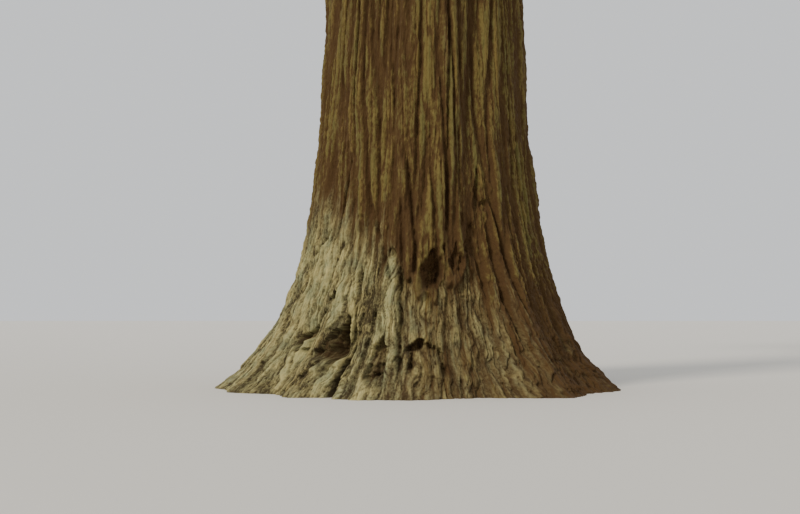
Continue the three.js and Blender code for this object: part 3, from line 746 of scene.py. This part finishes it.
def bark_surface(angle, height, depth):
    """The bark's radius and its marks: the trunk's radius with the relief of red or weathered bark, which
    meet at a ragged edge and a step at the skirt; hollows are sunk in and knobs raised."""
    bearing = turn_between(0, np.degrees(angle) + 90)
    length = np.interp(height, PROFILE_HEIGHTS, PROFILE_LENGTHS)  # up the flared profile
    wander = layers(angle, length, WANDERING)
    turned = angle + wander
    # Painted shade: the right side of the foot is darker in colour, and more deeply furrowed.
    painted_shade = bump(turn_between(SHADE_BEARING, bearing) / SHADE_SPREAD) * smooth_step(*SHADE_HEIGHTS, height)
    # Less furrow tone on the right side, so more of the ridges' colour there.
    ridge_lift = RIDGE_LIFT * bump(turn_between(RIDGE_LIFT_BEARING, bearing) / RIDGE_LIFT_SPREAD)

    skirt = by_bearing(bearing, SKIRT_SHARES)
    teeth = lerp(*TEETH_HEIGHTS, skirt) * layers(turned, length, EDGE_TEETH)
    above = height - by_bearing(bearing, WEATHERED_HEIGHTS) - teeth - layers(angle, length, EDGE_WAVE)
    weathered = smooth_step(*EDGE_FADING, above * lerp(1, SKIRT_SHARPNESS, skirt))
    step = SKIRT_STEP * skirt * (smooth_step(-0.02, 0.03, above) - 0.5 * smooth_step(0.9, 0, np.abs(above)))
    rust = 0.5 * skirt * smooth_step(-0.03, 0.03, above) * smooth_step(RUST_ABOVE, 0, above)

    relief, tone = red_bark(angle, turned, length, height)
    old_relief, old_tone, torn = weathered_bark(angle, turned, length)
    fringe = FRINGE_DEPTH * strip_noise(turned, length, FRINGE)
    hollowed = hollow_depth(bearing, height, wander, layers(angle, length, RAGGED), fringe)
    bulged = knob_height(bearing, height)

    relief = lerp(relief, old_relief, weathered) + RAISED + smooth_step(0.02, 0.07, hollowed) * torn
    relief = depth * (1 + SHADE_FURROWED * painted_shade) * relief - hollowed + bulged + step
    slope = mean_radius(np.maximum(height - 0.05, 0)) - mean_radius(height + 0.05)
    relief = relief * np.sqrt(1 + np.minimum(slope / 0.1, STEEPEST) ** 2)
    # Painted shade darkens the tone on the right side of the foot.
    tone = lerp(tone, old_tone, weathered) * (1 + SHADE_FURROWED * painted_shade) + SHADE_DARKENING * painted_shade - ridge_lift
    marks = {
        # Furrow tone, plus painted shade that darkens the hollows with their depth.
        "furrow_and_shade": np.clip(tone + HOLLOW_SHADE * hollowed + KNOB_TONE * bulged, 0, 0.9),
        "pale": weathered * by_bearing(bearing, PALE_SHARES),
        # Rust at the skirt's edge is real; in the hollows this rust colour, darkening with depth, is partly
        # painted shade.
        "rust_and_hollow_shade": np.maximum(rust, 0.75 * smooth_step(0.03, 0.09, hollowed)),
        "flow": circle(turned, length) * [1.2, 1.2, 1],
    }
    return trunk_radius(angle, height) + relief, marks


# Meshes from arrays.


def build_piece(name, points, polygons, materials, finish=None, flat=0, marks=None):
    """A mesh of one object at the origin. polygons is a list of arrays with a polygon in each row; finish
    gives each polygon's material slot; the last flat polygons aren't smoothed; marks are vertex values."""
    mesh = bpy.data.meshes.new(name)
    corners = np.concatenate([part.ravel() for part in polygons])
    sizes = np.concatenate([np.full(len(part), part.shape[1]) for part in polygons])
    mesh.vertices.add(len(points))
    mesh.vertices.foreach_set("co", np.ascontiguousarray(points, np.float32).ravel())
    mesh.loops.add(len(corners))
    mesh.loops.foreach_set("vertex_index", corners.astype(np.int32))
    mesh.polygons.add(len(sizes))
    mesh.polygons.foreach_set("loop_start", (np.cumsum(sizes) - sizes).astype(np.int32))
    mesh.polygons.foreach_set("use_smooth", np.arange(len(sizes)) < len(sizes) - flat)
    for material in materials:
        mesh.materials.append(material)
    if finish is not None:
        mesh.polygons.foreach_set("material_index", finish.astype(np.int32))
    for label, values in (marks or {}).items():
        kind, field = ("FLOAT_VECTOR", "vector") if values.ndim > 1 else ("FLOAT", "value")
        attribute = mesh.attributes.new(label, kind, "POINT")
        attribute.data.foreach_set(field, np.ascontiguousarray(values, np.float32).ravel())
    mesh.update(calc_edges=True)
    mesh.validate()
    piece = bpy.data.objects.new(name, mesh)
    bpy.context.scene.collection.objects.link(piece)
    return piece


def wall_faces(rings, corners):
    """Four-sided faces of a tube whose rings follow each other, closed round each ring."""
    ring, corner = np.meshgrid(np.arange(rings - 1), np.arange(corners), indexing="ij")
    following = (corner + 1) % corners
    around = [ring * corners + corner, ring * corners + following]
    above = [(ring + 1) * corners + following, (ring + 1) * corners + corner]
    return np.stack(around + above, -1).reshape(-1, 4)


def tube_points(lines, radii, corners):
    """Rings round lines: each ring's corners stand at even angles in the plane square to the line."""
    before = np.concatenate([lines[:, :1], lines[:, :-1]], 1)
    after = np.concatenate([lines[:, 1:], lines[:, -1:]], 1)
    level, upright = across(unit(after - before))
    angle = even_angles(corners)[:, None]
    ring = level[:, :, None] * np.cos(angle) + upright[:, :, None] * np.sin(angle)
    return lines[:, :, None] + ring * radii


def tube_faces(tubes, rings, corners):
    """Walls and end caps of many tubes with the same rings and corners, the points in order."""
    first = np.arange(tubes)[:, None, None] * rings * corners
    walls = (wall_faces(rings, corners) + first).reshape(-1, 4)
    ring = np.arange(corners)
    caps = np.stack([ring[::-1], (rings - 1) * corners + ring]) + first
    return walls, caps.reshape(-1, corners)


# Materials.

BARK_GLOSS = 0.25


class Value:
    """A socket of a shader tree. Arithmetic on it adds Math nodes."""

    def __init__(self, look, socket):
        self.look = look
        self.socket = socket

    def maths(self, operation, first, second):
        node = self.look.node("ShaderNodeMath", {"operation": operation}, {0: first, 1: second})
        return Value(self.look, node.outputs[0])

    def __add__(self, other):
        return self.maths("ADD", self, other)

    __radd__ = __add__

    def __sub__(self, other):
        return self.maths("SUBTRACT", self, other)

    def __rsub__(self, other):
        return self.maths("SUBTRACT", other, self)

    def __mul__(self, other):
        return self.maths("MULTIPLY", self, other)

    __rmul__ = __mul__


class Look:
    """A material being made, with its Principled shader."""

    def __init__(self, name, **fixed):
        self.material = bpy.data.materials.new(name)
        self.material.use_nodes = True
        self.tree = self.material.node_tree
        self.shader = self.tree.nodes["Principled BSDF"]
        for socket, value in fixed.items():
            self.shader.inputs[socket.replace("_", " ")].default_value = value

    def node(self, kind, settings, inputs):
        """Adds a node: its settings first, then the values or links of its sockets."""
        node = self.tree.nodes.new(kind)
        for name, value in settings.items():
            setattr(node, name, value)
        for name, value in inputs.items():
            if isinstance(value, Value):
                self.tree.links.new(value.socket, node.inputs[name])
            else:
                node.inputs[name].default_value = value
        return node

    def mark(self, name, output="Fac"):
        node = self.node("ShaderNodeAttribute", {"attribute_name": name}, {})
        return Value(self, node.outputs[output])

    def grain(self, places, stretch, detail=3.0, roughness=0.55):
        """Noise over places that are first stretched by a factor for each axis."""
        inputs = {"Vector": places, "Scale": stretch}
        stretched = self.node("ShaderNodeMapping", {"vector_type": "POINT"}, inputs)
        inputs = {"Vector": Value(self, stretched.outputs[0]), "Scale": 1.0, "Detail": detail}
        inputs["Roughness"] = roughness
        return Value(self, self.node("ShaderNodeTexNoise", {}, inputs).outputs[0])

    def blend(self, share, *shades):
        """A colour between two, by a share."""
        first, second = (shade if isinstance(shade, Value) else (*shade, 1.0) for shade in shades)
        inputs = {0: share, 6: first, 7: second}
        node = self.node("ShaderNodeMix", {"data_type": "RGBA", "clamp_factor": True}, inputs)
        return Value(self, node.outputs[2])

    def feed(self, socket, value):
        self.tree.links.new(value.socket, self.shader.inputs[socket])

    def raise_by(self, height, distance):
        inputs = {"Height": height, "Distance": distance, "Strength": 1.0}
        self.feed("Normal", Value(self, self.node("ShaderNodeBump", {}, inputs).outputs[0]))


def trunk_look(bark):
    """Furrows dark, flanks brown, and ridges tan or olive by the strip; pale and grey where weathered, with
    creases darkened by dirt and by painted shade; rusty at the skirt; in the hollows rust that darkens with
    depth, which is painted shade; the right side of the foot darker by painted shade. All noise is drawn out
    along the flow of the bark."""
    look = Look("Trunk bark", Roughness=0.9, Specular_IOR_Level=BARK_GLOSS)
    flow = look.mark("flow", "Vector")
    broad = look.grain(flow, (7, 7, 0.5), 2.0)
    streaks = look.grain(flow, (26, 26, 1.4), 3.0)
    fibres = look.grain(flow, (95, 95, 5), 4.0, 0.6)
    crumbs = look.grain(flow, (48, 48, 20), 4.0, 0.7)
    grit = look.grain(flow, (80, 80, 34), 3.0, 0.65)
    sunk = look.mark("furrow_and_shade") + (fibres - 0.5) * 0.8 + (crumbs - 0.5) * 1.5 + (broad - 0.5) * 0.9
    # Dirt and painted shade: the weathered bark darkens in its creases.
    crease_dirt_and_shade = look.mark("furrow_and_shade") + (fibres - 0.5) * 0.9 + (grit - 0.5) * 1.1 + (broad - 0.5) * 0.7
    ridge = look.blend((streaks - 0.38) * 4, bark.ridge_colour, bark.olive_colour)
    upper = look.blend(sunk * 2.4, ridge, bark.flank_colour)
    upper = look.blend(sunk * 1.6 - 0.6, upper, bark.furrow_colour)
    patches = look.grain(flow, (7, 7, 5), 4.0, 0.65)
    pale = look.blend((patches - 0.4) * 4, bark.weathered_colour, bark.grey_colour)
    pale = look.blend((broad - 0.55) * 3 + (grit - 0.5), pale, bark.lichen_colour)
    # Dirt and painted shade: the weathered bark's creases darken to the weathered furrow colour.
    lower = look.blend(crease_dirt_and_shade * 1.5 - 0.5, pale, bark.weathered_furrow_colour)
    pale_share = look.mark("pale") * 1.6 + (streaks - 0.5) * 2.0 + (fibres - 0.5) * 1.2 - 0.3
    colour = look.blend(pale_share, upper, lower)
    # Rust colour that darkens to the furrow colour with depth: real rust at the skirt, painted shade in the
    # hollows.
    rust = look.blend(sunk * 1.2 - 0.2, bark.rust_and_hollow_shade_colour, bark.furrow_colour)
    look.feed("Base Color", look.blend(look.mark("rust_and_hollow_shade") * 0.85 + (streaks - 0.5) * 1.2, colour, rust))
    look.raise_by((fibres * 0.7 + streaks * 0.2 + grit * 0.6) * (look.mark("pale") + 1), bark.fibre_height)
    return look.material


def limb_look(name, bark):
    """Scaly bark: brown plates with darker gaps, by noise on object coordinates."""
    look = Look(name, Roughness=0.88, Specular_IOR_Level=BARK_GLOSS)
    place = Value(look, look.node("ShaderNodeTexCoord", {}, {}).outputs["Object"])
    scales = look.grain(place, (11, 11, 11), 4.0)
    colour = look.blend((scales - 0.35) * 3, bark.limb_furrow_colour, bark.limb_colour)
    look.feed("Base Color", colour)
    look.raise_by(scales, bark.fibre_height)
    return look.material


# Settings that a user would change.


def screen_colour(red, green, blue):
    """A linear colour from screen values of 0 to 255: a straight foot and a power of 2.4."""
    values = np.array([red, green, blue]) / 255
    return tuple(np.where(values > 0.04045, ((values + 0.055) / 1.055) ** 2.4, values / 12.92))


def colour_setting(name, description, red, green, blue):
    shade = screen_colour(red, green, blue)
    limits = {"min": 0.0, "max": 1.0, "subtype": "COLOR", "size": 3}
    return bpy.props.FloatVectorProperty(name=name, description=description, default=shade, **limits)


def length_setting(name, description, default):
    limits = {"min": 0.0, "unit": "LENGTH", "precision": 3}
    return bpy.props.FloatProperty(name=name, description=description, default=default, **limits)


def strength_setting(name, description, default):
    return bpy.props.FloatProperty(name=name, description=description, default=default, min=0.0)


class RedwoodBarkSettings(bpy.types.PropertyGroup):
    """Bark of the trunk and the limbs"""

    furrow_depth: length_setting("Furrow depth", "Depth of the furrows between the strips", 0.056)
    fibre_height: length_setting("Fibre height", "Height of the fibres within a strip", 0.012)
    ridge_colour: colour_setting("Ridges", "Strips of the upper bark", 108, 91, 47)
    olive_colour: colour_setting("Olive ridges", "Strips with a green film", 99, 93, 49)
    flank_colour: colour_setting("Flanks", "Sides of the strips", 77, 57, 28)
    furrow_colour: colour_setting("Furrows", "Bottom of the furrows", 69, 48, 23)
    weathered_colour: colour_setting("Weathered", "Pale bark at the foot", 180, 168, 112)
    grey_colour: colour_setting("Weathered grey", "Grey patches of the pale bark", 140, 141, 103)
    # The weathered furrows' colour is partly dirt and partly painted shade in the creases.
    weathered_furrow_colour: colour_setting("Weathered furrows", "Furrows of the pale bark", 60, 51, 30)
    lichen_colour: colour_setting("Lichen", "Warm tint of the pale bark", 150, 126, 70)
    # Rust is the real colour at the skirt's edge, and in the hollows it also stands for painted shade.
    rust_and_hollow_shade_colour: colour_setting("Rust", "Edge of the skirt and inside the hollows", 74, 51, 29)
    limb_colour: colour_setting("Limb plates", "Plates of the limbs' bark", 104, 82, 58)
    limb_furrow_colour: colour_setting("Limb furrows", "Gaps between the plates", 54, 39, 28)


class RedwoodCrownSettings(bpy.types.PropertyGroup):
    """Twigs and needles of the crown"""

    spray_gap: length_setting("Spray gap", "Distance between sprays along a frond", 0.154)
    needle_length: length_setting("Needle length", "Length of a needle", 0.15)
    needle_width: length_setting("Needle width", "Width of a needle at its foot", 0.042)
    # The greens are dealt partly by chance and partly by daylight: deep green also stands for painted shade
    # on sprays below their limb, and fresh green for painted light on sprays above it.
    deep_colour: colour_setting("Deep green", "Older sprays", 58, 82, 37)
    middle_colour: colour_setting("Green", "Most of the sprays", 80, 108, 47)
    fresh_colour: colour_setting("Fresh green", "Younger sprays", 112, 140, 62)
    dry_colour: colour_setting("Dry", "Sprays about to fall", 118, 88, 48)


class RedwoodStageSettings(bpy.types.PropertyGroup):
    """Camera, lights and floor"""

    camera_distance: length_setting("Camera distance", "From the trunk's axis to the camera", 11.47)
    camera_height: length_setting("Camera height", "Height of the camera above the floor", 0.711)
    key_strength: strength_setting("Key light", "Strength of the sun", 2.33)
    fill_strength: strength_setting("Fill light", "Strength of the sky", 0.92)
    floor_colour: colour_setting("Floor", "Colour of the floor", 214, 210, 202)


# Pieces.


class REDWOOD_OT_trunk_bark(bpy.types.Operator):
    """Cover the trunk with furrowed bark, in closed stretches that meet ring to ring"""

    bl_idname = "redwood.trunk_bark"
    bl_label = "Trunk bark"

    # Each stretch: heights of its two ends in metres, corners round it, and rings between the ends.
    stretches = (
        (0.0, 0.65, 1120, 84),
        (0.65, 1.35, 1120, 84),
        (1.35, 2.9, 1120, 84),
        (2.9, 4.9, 1120, 66),
        (4.9, 9.0, 560, 90),
        (9.0, 17.0, 280, 104),
        (17.0, TRUNK_TOP - 0.01, 140, 140),
    )
    deepest = 0.09  # depth of the furrows as a share of the radius, where the trunk is thin

    def execute(self, context):
        bark = context.scene.redwood_bark
        look = trunk_look(bark)
        for number, (low, high, corners, rings) in enumerate(self.stretches):
            level = np.linspace(low, high, rings + 1)
            level, angle = np.meshgrid(level, even_angles(corners), indexing="ij")
            depth = np.minimum(bark.furrow_depth, self.deepest * mean_radius(level))
            radius, marks = bark_surface(angle, level, depth)
            points = trunk_centre(level)
            points[..., :2] += circle(angle) * radius[..., None]
            following = self.stretches[number + 1 : number + 2]
            if following and following[0][2] < corners:
                last = points[-1]  # every other corner stands on the coarser ring above
                last[1::2] = (last[0::2] + np.roll(last[0::2], -1, 0)) / 2
            caps = np.arange(2 * corners).reshape(2, -1) + points[..., 0].size
            caps[0] = caps[0][::-1]
            ends = slice(None, None, rings)
            points = np.concatenate([points, points[ends]])
            marks = {label: np.concatenate([values, values[ends]]) for label, values in marks.items()}
            marks = {label: values.reshape(-1, *values.shape[2:]) for label, values in marks.items()}
            polygons = [wall_faces(rings + 1, corners), caps]
            name = f"trunk_bark_{number + 1}"
            piece = build_piece(name, points.reshape(-1, 3), polygons, [look], flat=2, marks=marks)
            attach(piece, "root")
            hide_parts("trunk")
        return {"FINISHED"}


class REDWOOD_OT_limb_bark(bpy.types.Operator):
    """Grow the limbs from the trunk to their tips, with scaly bark"""

    bl_idname = "redwood.limb_bark"
    bl_label = "Limb bark"

    corners = 16
    rings = 48
    crowding = 1.25  # of the rings, towards the trunk
    scale_depth = 0.16
    scale_stretch = (1.6, 1.6, 5)  # cells of the scales' noise round the limb and to the metre
    scale_shift = 7.3  # from one limb to the next

    def execute(self, context):
        share = np.linspace(0, 1, self.rings) ** self.crowding
        limb = np.arange(LIMBS)[:, None]
        lines = limb_point(limb, share[None])
        radii = limb_radius(limb, share[None])[..., None, None]
        travel = share[:, None] * PLANS["length"][:, None, None]
        angle, travel = np.broadcast_arrays(even_angles(self.corners), travel)
        place = circle(angle, travel) * self.scale_stretch
        place[..., 2] += self.scale_shift * limb[..., None]
        scales = self.scale_depth * noise(place, 21)
        points = tube_points(lines, radii * (1 + scales[..., None]), self.corners)
        polygons = tube_faces(LIMBS, self.rings, self.corners)
        look = limb_look("Limb bark", context.scene.redwood_bark)
        piece = build_piece("limb_bark", points.reshape(-1, 3), polygons, [look], flat=2 * LIMBS)
        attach(piece, "root")
        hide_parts(*[f"bough_{number + 1:02d}" for number in range(BOUGHS)])
        return {"FINISHED"}


def mass_names(limbs):
    """The frame's foliage nodes of these limbs; the leader comes after the last limb."""
    return [f"foliage_{limb + 1:02d}" if limb < LIMBS else "foliage_leader" for limb in limbs]


@functools.cache
def crown():
    """Twigs and fronds of the whole crown, worked out once; the fronds in the order of their limbs."""
    twigs = twig_plans()
    fronds, top = frond_plans(twigs), leader_fronds()
    order = np.argsort(np.concatenate([fronds["limb"], top["limb"]]), kind="stable")
    return twigs, {name: np.concatenate([fronds[name], top[name]])[order] for name in FROND_PARTS}


def frond_point(fronds, share):
    """The frond's midrib: straight out, sinking by the square of the share where it isn't upright."""
    level = 1 - fronds["direction"][:, 2] ** 2
    sunk = (FROND_SAG * level * fronds["length"])[:, None] * share**2
    out = fronds["length"][:, None] * share
    return fronds["root"][:, None] + fronds["direction"][:, None] * out[..., None] - sunk[..., None] * UP


class REDWOOD_OT_twigs(bpy.types.Operator):
    """Grow twigs from the limbs, the midribs of the fronds, and the leader's stem"""

    bl_idname = "redwood.twigs"
    bl_label = "Twigs"

    twig_rings = 7
    twig_corners = 5
    midrib_rings = 4
    midrib_radii = (0.008, 0.003)
    midrib_end = 0.98  # share of the frond
    thickest = 0.8  # share of its limb's radius near the tip that a twig's foot may have
    leader_tip_radius = 0.015
    leader_foot = 0.05  # metres of the leader's stem within the trunk

    def execute(self, context):
        twigs, fronds = crown()
        share = np.linspace(0, 1, self.twig_rings)
        root, heading = (twigs[name][:, None] for name in ("root", "direction"))
        line = twig_point(root, heading, twigs["length"][:, None], share)
        foot = np.minimum(TWIG_RADIUS, self.thickest * limb_radius(twigs["limb"], 0.9))[:, None]
        radii = lerp(foot, np.minimum(TWIG_TIP_RADIUS, foot), share)[..., None, None]
        twig_points = tube_points(line, radii, self.twig_corners)
        share = np.linspace(0, self.midrib_end, self.midrib_rings)[None]
        radii = lerp(*self.midrib_radii, share)[..., None, None]
        midrib_points = tube_points(frond_point(fronds, share), radii, 3)
        rise = np.array([[0], [LEADER_LENGTH + self.leader_foot]])
        stem = trunk_centre(np.full(2, TRUNK_TOP - self.leader_foot)) + UP * rise
        radii = np.array([LEADER_RADIUS, self.leader_tip_radius])[:, None, None]
        stem_points = tube_points(stem[None], radii, 8)
        parts = (twig_points, midrib_points, stem_points)
        polygons, first = [], 0
        for part in parts:
            polygons += [faces + first for faces in tube_faces(*part.shape[:3])]
            first += part[..., 0].size
        points = np.concatenate([part.reshape(-1, 3) for part in parts])
        look = limb_look("Twig bark", context.scene.redwood_bark)
        piece = build_piece("twigs", points, polygons, [look])
        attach(piece, "root")
        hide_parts(*mass_names(range(LIMBS + 1)))
        return {"FINISHED"}


class REDWOOD_OT_needle_sprays(bpy.types.Operator):
    """Fill the fronds with sprays of needles, joined by limb into pieces of one kind"""

    bl_idname = "redwood.needle_sprays"
    bl_label = "Needle sprays"

    fewest = 3  # pairs of sprays on a frond
    places = (0.06, 0.96, 0.93)  # shares of the frond: its first spray, the end of its pairs, its last spray
    angles = (64, 34)  # degrees between a spray and the midrib, at the frond's foot and at its tip
    angle_spread = 14
    lift = 0.5
    droop = 0.12
    reaches = (0.78, 1.12)  # shares of the way to the frond's edge
    last_reach = 0.09  # of the frond
    least_reach = 0.06
    tone_weights = (0.3, 0.4, 0.3)  # of chance by spray, chance by frond, and daylight
    shares = (0.34, 0.42, 0.22, 0.02)  # of deep, middle, fresh and dry sprays
    lit_height = 0.8  # how far above its limb a spray is wholly in the light
    leader_light = 0.7
    pairs = 5  # of needles on a spray
    stalk = 0.006
    shortening = 0.4  # of the needles towards the spray's tip
    full_length = 0.2  # length from which a spray has needles of full length
    full_reach = 0.3  # the same for their width
    narrowest = 0.4
    most_triangles = 190000

    def execute(self, context):
        settings = context.scene.redwood_crown
        fronds = crown()[1]
        pairs = np.round(fronds["length"] / settings.spray_gap).astype(int)
        counts = 2 * np.maximum(pairs, self.fewest) + 1
        frond = np.repeat(np.arange(len(counts)), counts)
        place = np.arange(len(frond)) - np.repeat(np.cumsum(counts) - counts, counts)
        share = place / (counts[frond] - 1)
        last = share == 1
        along = np.where(last, self.places[2], lerp(*self.places[:2], share))
        draw = np.stack([chance(frond, place, use) for use in range(31, 36)])
        row = {name: values[frond] for name, values in fronds.items()}
        direction, normal = row["direction"], row["normal"]
        turn = np.radians(lerp(*self.angles, along) + self.angle_spread * (draw[0] - 0.5))
        turn = np.where(last, 0, turn)[:, None]
        side = np.where(place % 2, 1.0, -1.0)[:, None]
        heading = direction * np.cos(turn) + row["width"] * side * np.sin(turn)
        heading = heading + normal * (self.lift * (draw[1] - 0.5))[:, None] - UP * self.droop
        heading = unit(np.where(last[:, None], direction, heading))
        reach = frond_half_width(along) / np.maximum(np.sin(turn[:, 0]), 0.4) * lerp(*self.reaches, draw[2])
        reach = np.minimum(reach, (1.02 - along) / np.maximum(np.cos(turn[:, 0]), 0.3))
        reach = np.where(last, self.last_reach, np.maximum(reach, self.least_reach)) * row["length"]
        root = frond_point(row, along[:, None])[:, 0]
        points = self.sprays(settings, root, heading, normal, reach, draw[1] - 0.5)
        # Painted light and shade: the daylight share deals fresher greens to sprays above their limb and
        # deeper greens to those below.
        tone = mixed(self.tone_weights, draw[3], chance(frond, 0, 37), self.daylight(row["limb"], root))
        tone = np.where(draw[4] < self.shares[-1], 1, tone * (1 - self.shares[-1]))
        self.join(settings, row["limb"], points, np.searchsorted(np.cumsum(self.shares)[:-1], tone))
        return {"FINISHED"}

    def daylight(self, limb, root):
        """0 for sprays that hang well below their limb's line, and 1 for those well above it."""
        stem = np.minimum(limb, LIMBS - 1)
        out = ((root - PLANS["root"][stem]) * PLANS["outward"][stem]).sum(-1) / PLANS["length"][stem]
        above = root[:, 2] - limb_point(stem, np.clip(out, 0, 1))[:, 2]
        light = smooth_step(-self.lit_height, self.lit_height, above)
        return np.where(limb < LIMBS, light, self.leader_light)

    def sprays(self, settings, root, heading, normal, reach, twist):
        """Each spray: a thin stem, pairs of needles that lean forward from it and shorten towards its tip,
        and a needle at the tip, each of them one triangle."""
        wide = unit(np.cross(normal, heading))
        end = root + heading * reach[:, None]
        stalk = wide * self.stalk
        level = (np.arange(self.pairs) + 0.6) / (self.pairs + 0.4)
        size = settings.needle_length * (1 - self.shortening * level)
        size = size * np.minimum(1, reach[:, None] / self.full_length)
        width = settings.needle_width * np.clip(reach / self.full_reach, self.narrowest, 1)[:, None]
        corners = [np.stack([root - stalk, root + stalk, end], 1)[:, None]]
        for side in (-1, 1):
            lean = heading * 0.55 + side * wide * 0.8 + normal * (0.24 * side * twist)[:, None]
            foot = root[:, None] + heading[:, None] * (reach[:, None] * (level + 0.04 * side))[..., None]
            half = (heading * width / 2)[:, None]
            triangle = [foot - half, foot + half, foot + unit(lean)[:, None] * size[..., None]]
            corners.append(np.stack(triangle[::side], 2))
        half = wide * width / 2
        top = [end - half, end + half, end + heading * settings.needle_length * 0.6]
        corners.append(np.stack(top, 1)[:, None])
        return np.concatenate(corners, 1)

    def join(self, settings, limb, points, dealt):
        """Joins whole limbs into pieces of fewer triangles than the most."""
        shades = {
            "Deep needles": settings.deep_colour,
            "Needles": settings.middle_colour,
            "Fresh needles": settings.fresh_colour,
            "Dry needles": settings.dry_colour,
        }
        looks = [
            Look(name, Base_Color=(*shade, 1.0), Roughness=0.55, Specular_IOR_Level=0.35).material
            for name, shade in shades.items()
        ]
        faces = points.shape[1]
        totals = np.bincount(limb, minlength=LIMBS + 1) * faces
        groups, filled = [[]], 0
        for number, total in enumerate(totals):
            if filled + total > self.most_triangles:
                groups.append([])
                filled = 0
            groups[-1].append(number)
            filled += total
        for number, members in enumerate(groups):
            chosen = np.isin(limb, members)
            corners = points[chosen].reshape(-1, 3)
            polygons = [np.arange(len(corners)).reshape(-1, 3)]
            finish = np.repeat(dealt[chosen], faces)
            piece = build_piece(f"needle_sprays_{number + 1}", corners, polygons, looks, finish, len(finish))
            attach(piece, "root")
            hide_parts(*mass_names(members))


class REDWOOD_OT_stage(bpy.types.Operator):
    """Set the floor, the lights and the camera"""

    bl_idname = "redwood.stage"
    bl_label = "Stage"

    focal_length = 50.0
    yaw = -math.atan(23 / 1111)
    pitch = math.radians(3.1)
    key_turn = (math.radians(54), 0.0, math.radians(-42))
    key_softness = math.radians(14)
    key_colour = (1.0, 0.93, 0.82)
    sky_colour = (0.91, 0.93, 0.95, 1.0)
    floor_size = 400.0

    def execute(self, context):
        stage = context.scene.redwood_stage
        scene = context.scene
        lens = bpy.data.cameras.new("Camera")
        lens.lens = self.focal_length
        lens.clip_end = 1000
        camera = bpy.data.objects.new("Camera", lens)
        camera.location = (0, -stage.camera_distance, stage.camera_height)
        camera.rotation_euler = (math.pi / 2 + self.pitch, 0, -self.yaw)
        sun = bpy.data.lights.new("Key light", "SUN")
        sun.energy = stage.key_strength
        sun.angle = self.key_softness
        sun.color = self.key_colour
        key = bpy.data.objects.new("Key light", sun)
        key.rotation_euler = self.key_turn
        corners = self.floor_size / 2 * np.array([[-1, -1, 0], [1, -1, 0], [1, 1, 0], [-1, 1, 0]])
        look = Look("Floor", Base_Color=(*stage.floor_colour, 1.0), Roughness=0.9)
        floor = build_piece("floor", corners, [np.arange(4)[None]], [look.material])
        scene.collection.objects.link(camera)
        scene.collection.objects.link(key)
        scene.camera = camera
        world = scene.world or bpy.data.worlds.new("Sky")
        scene.world = world
        world.use_nodes = True
        sky = world.node_tree.nodes["Background"]
        sky.inputs["Color"].default_value = self.sky_colour
        sky.inputs["Strength"].default_value = stage.fill_strength
        return {"FINISHED"}


class REDWOOD_PT_sidebar(bpy.types.Panel):
    """The pieces of the redwood and their settings"""

    bl_idname = "REDWOOD_PT_sidebar"
    bl_label = "Old redwood"
    bl_space_type = "VIEW_3D"
    bl_region_type = "UI"
    bl_category = "Redwood"

    def draw(self, context):
        layout = self.layout
        for group in (context.scene.redwood_bark, context.scene.redwood_crown, context.scene.redwood_stage):
            for name in type(group).__annotations__:
                layout.prop(group, name)
        for operator in PIECES:
            layout.operator(operator.bl_idname)


SETTINGS = {
    "redwood_bark": RedwoodBarkSettings,
    "redwood_crown": RedwoodCrownSettings,
    "redwood_stage": RedwoodStageSettings,
}
PIECES = (
    REDWOOD_OT_trunk_bark,
    REDWOOD_OT_limb_bark,
    REDWOOD_OT_twigs,
    REDWOOD_OT_needle_sprays,
    REDWOOD_OT_stage,
)
CLASSES = (*SETTINGS.values(), *PIECES, REDWOOD_PT_sidebar)


def register():
    for part in CLASSES:
        bpy.utils.register_class(part)
    for name, group in SETTINGS.items():
        setattr(bpy.types.Scene, name, bpy.props.PointerProperty(type=group))


def unregister():
    for name in SETTINGS:
        delattr(bpy.types.Scene, name)
    for part in reversed(CLASSES):
        bpy.utils.unregister_class(part)


def main():
    """Registers the add-on and makes every piece."""
    register()
    bpy.ops.redwood.trunk_bark()
    bpy.ops.redwood.limb_bark()
    bpy.ops.redwood.twigs()
    bpy.ops.redwood.needle_sprays()
    bpy.ops.redwood.stage()


if __name__ == "__main__":
    main()
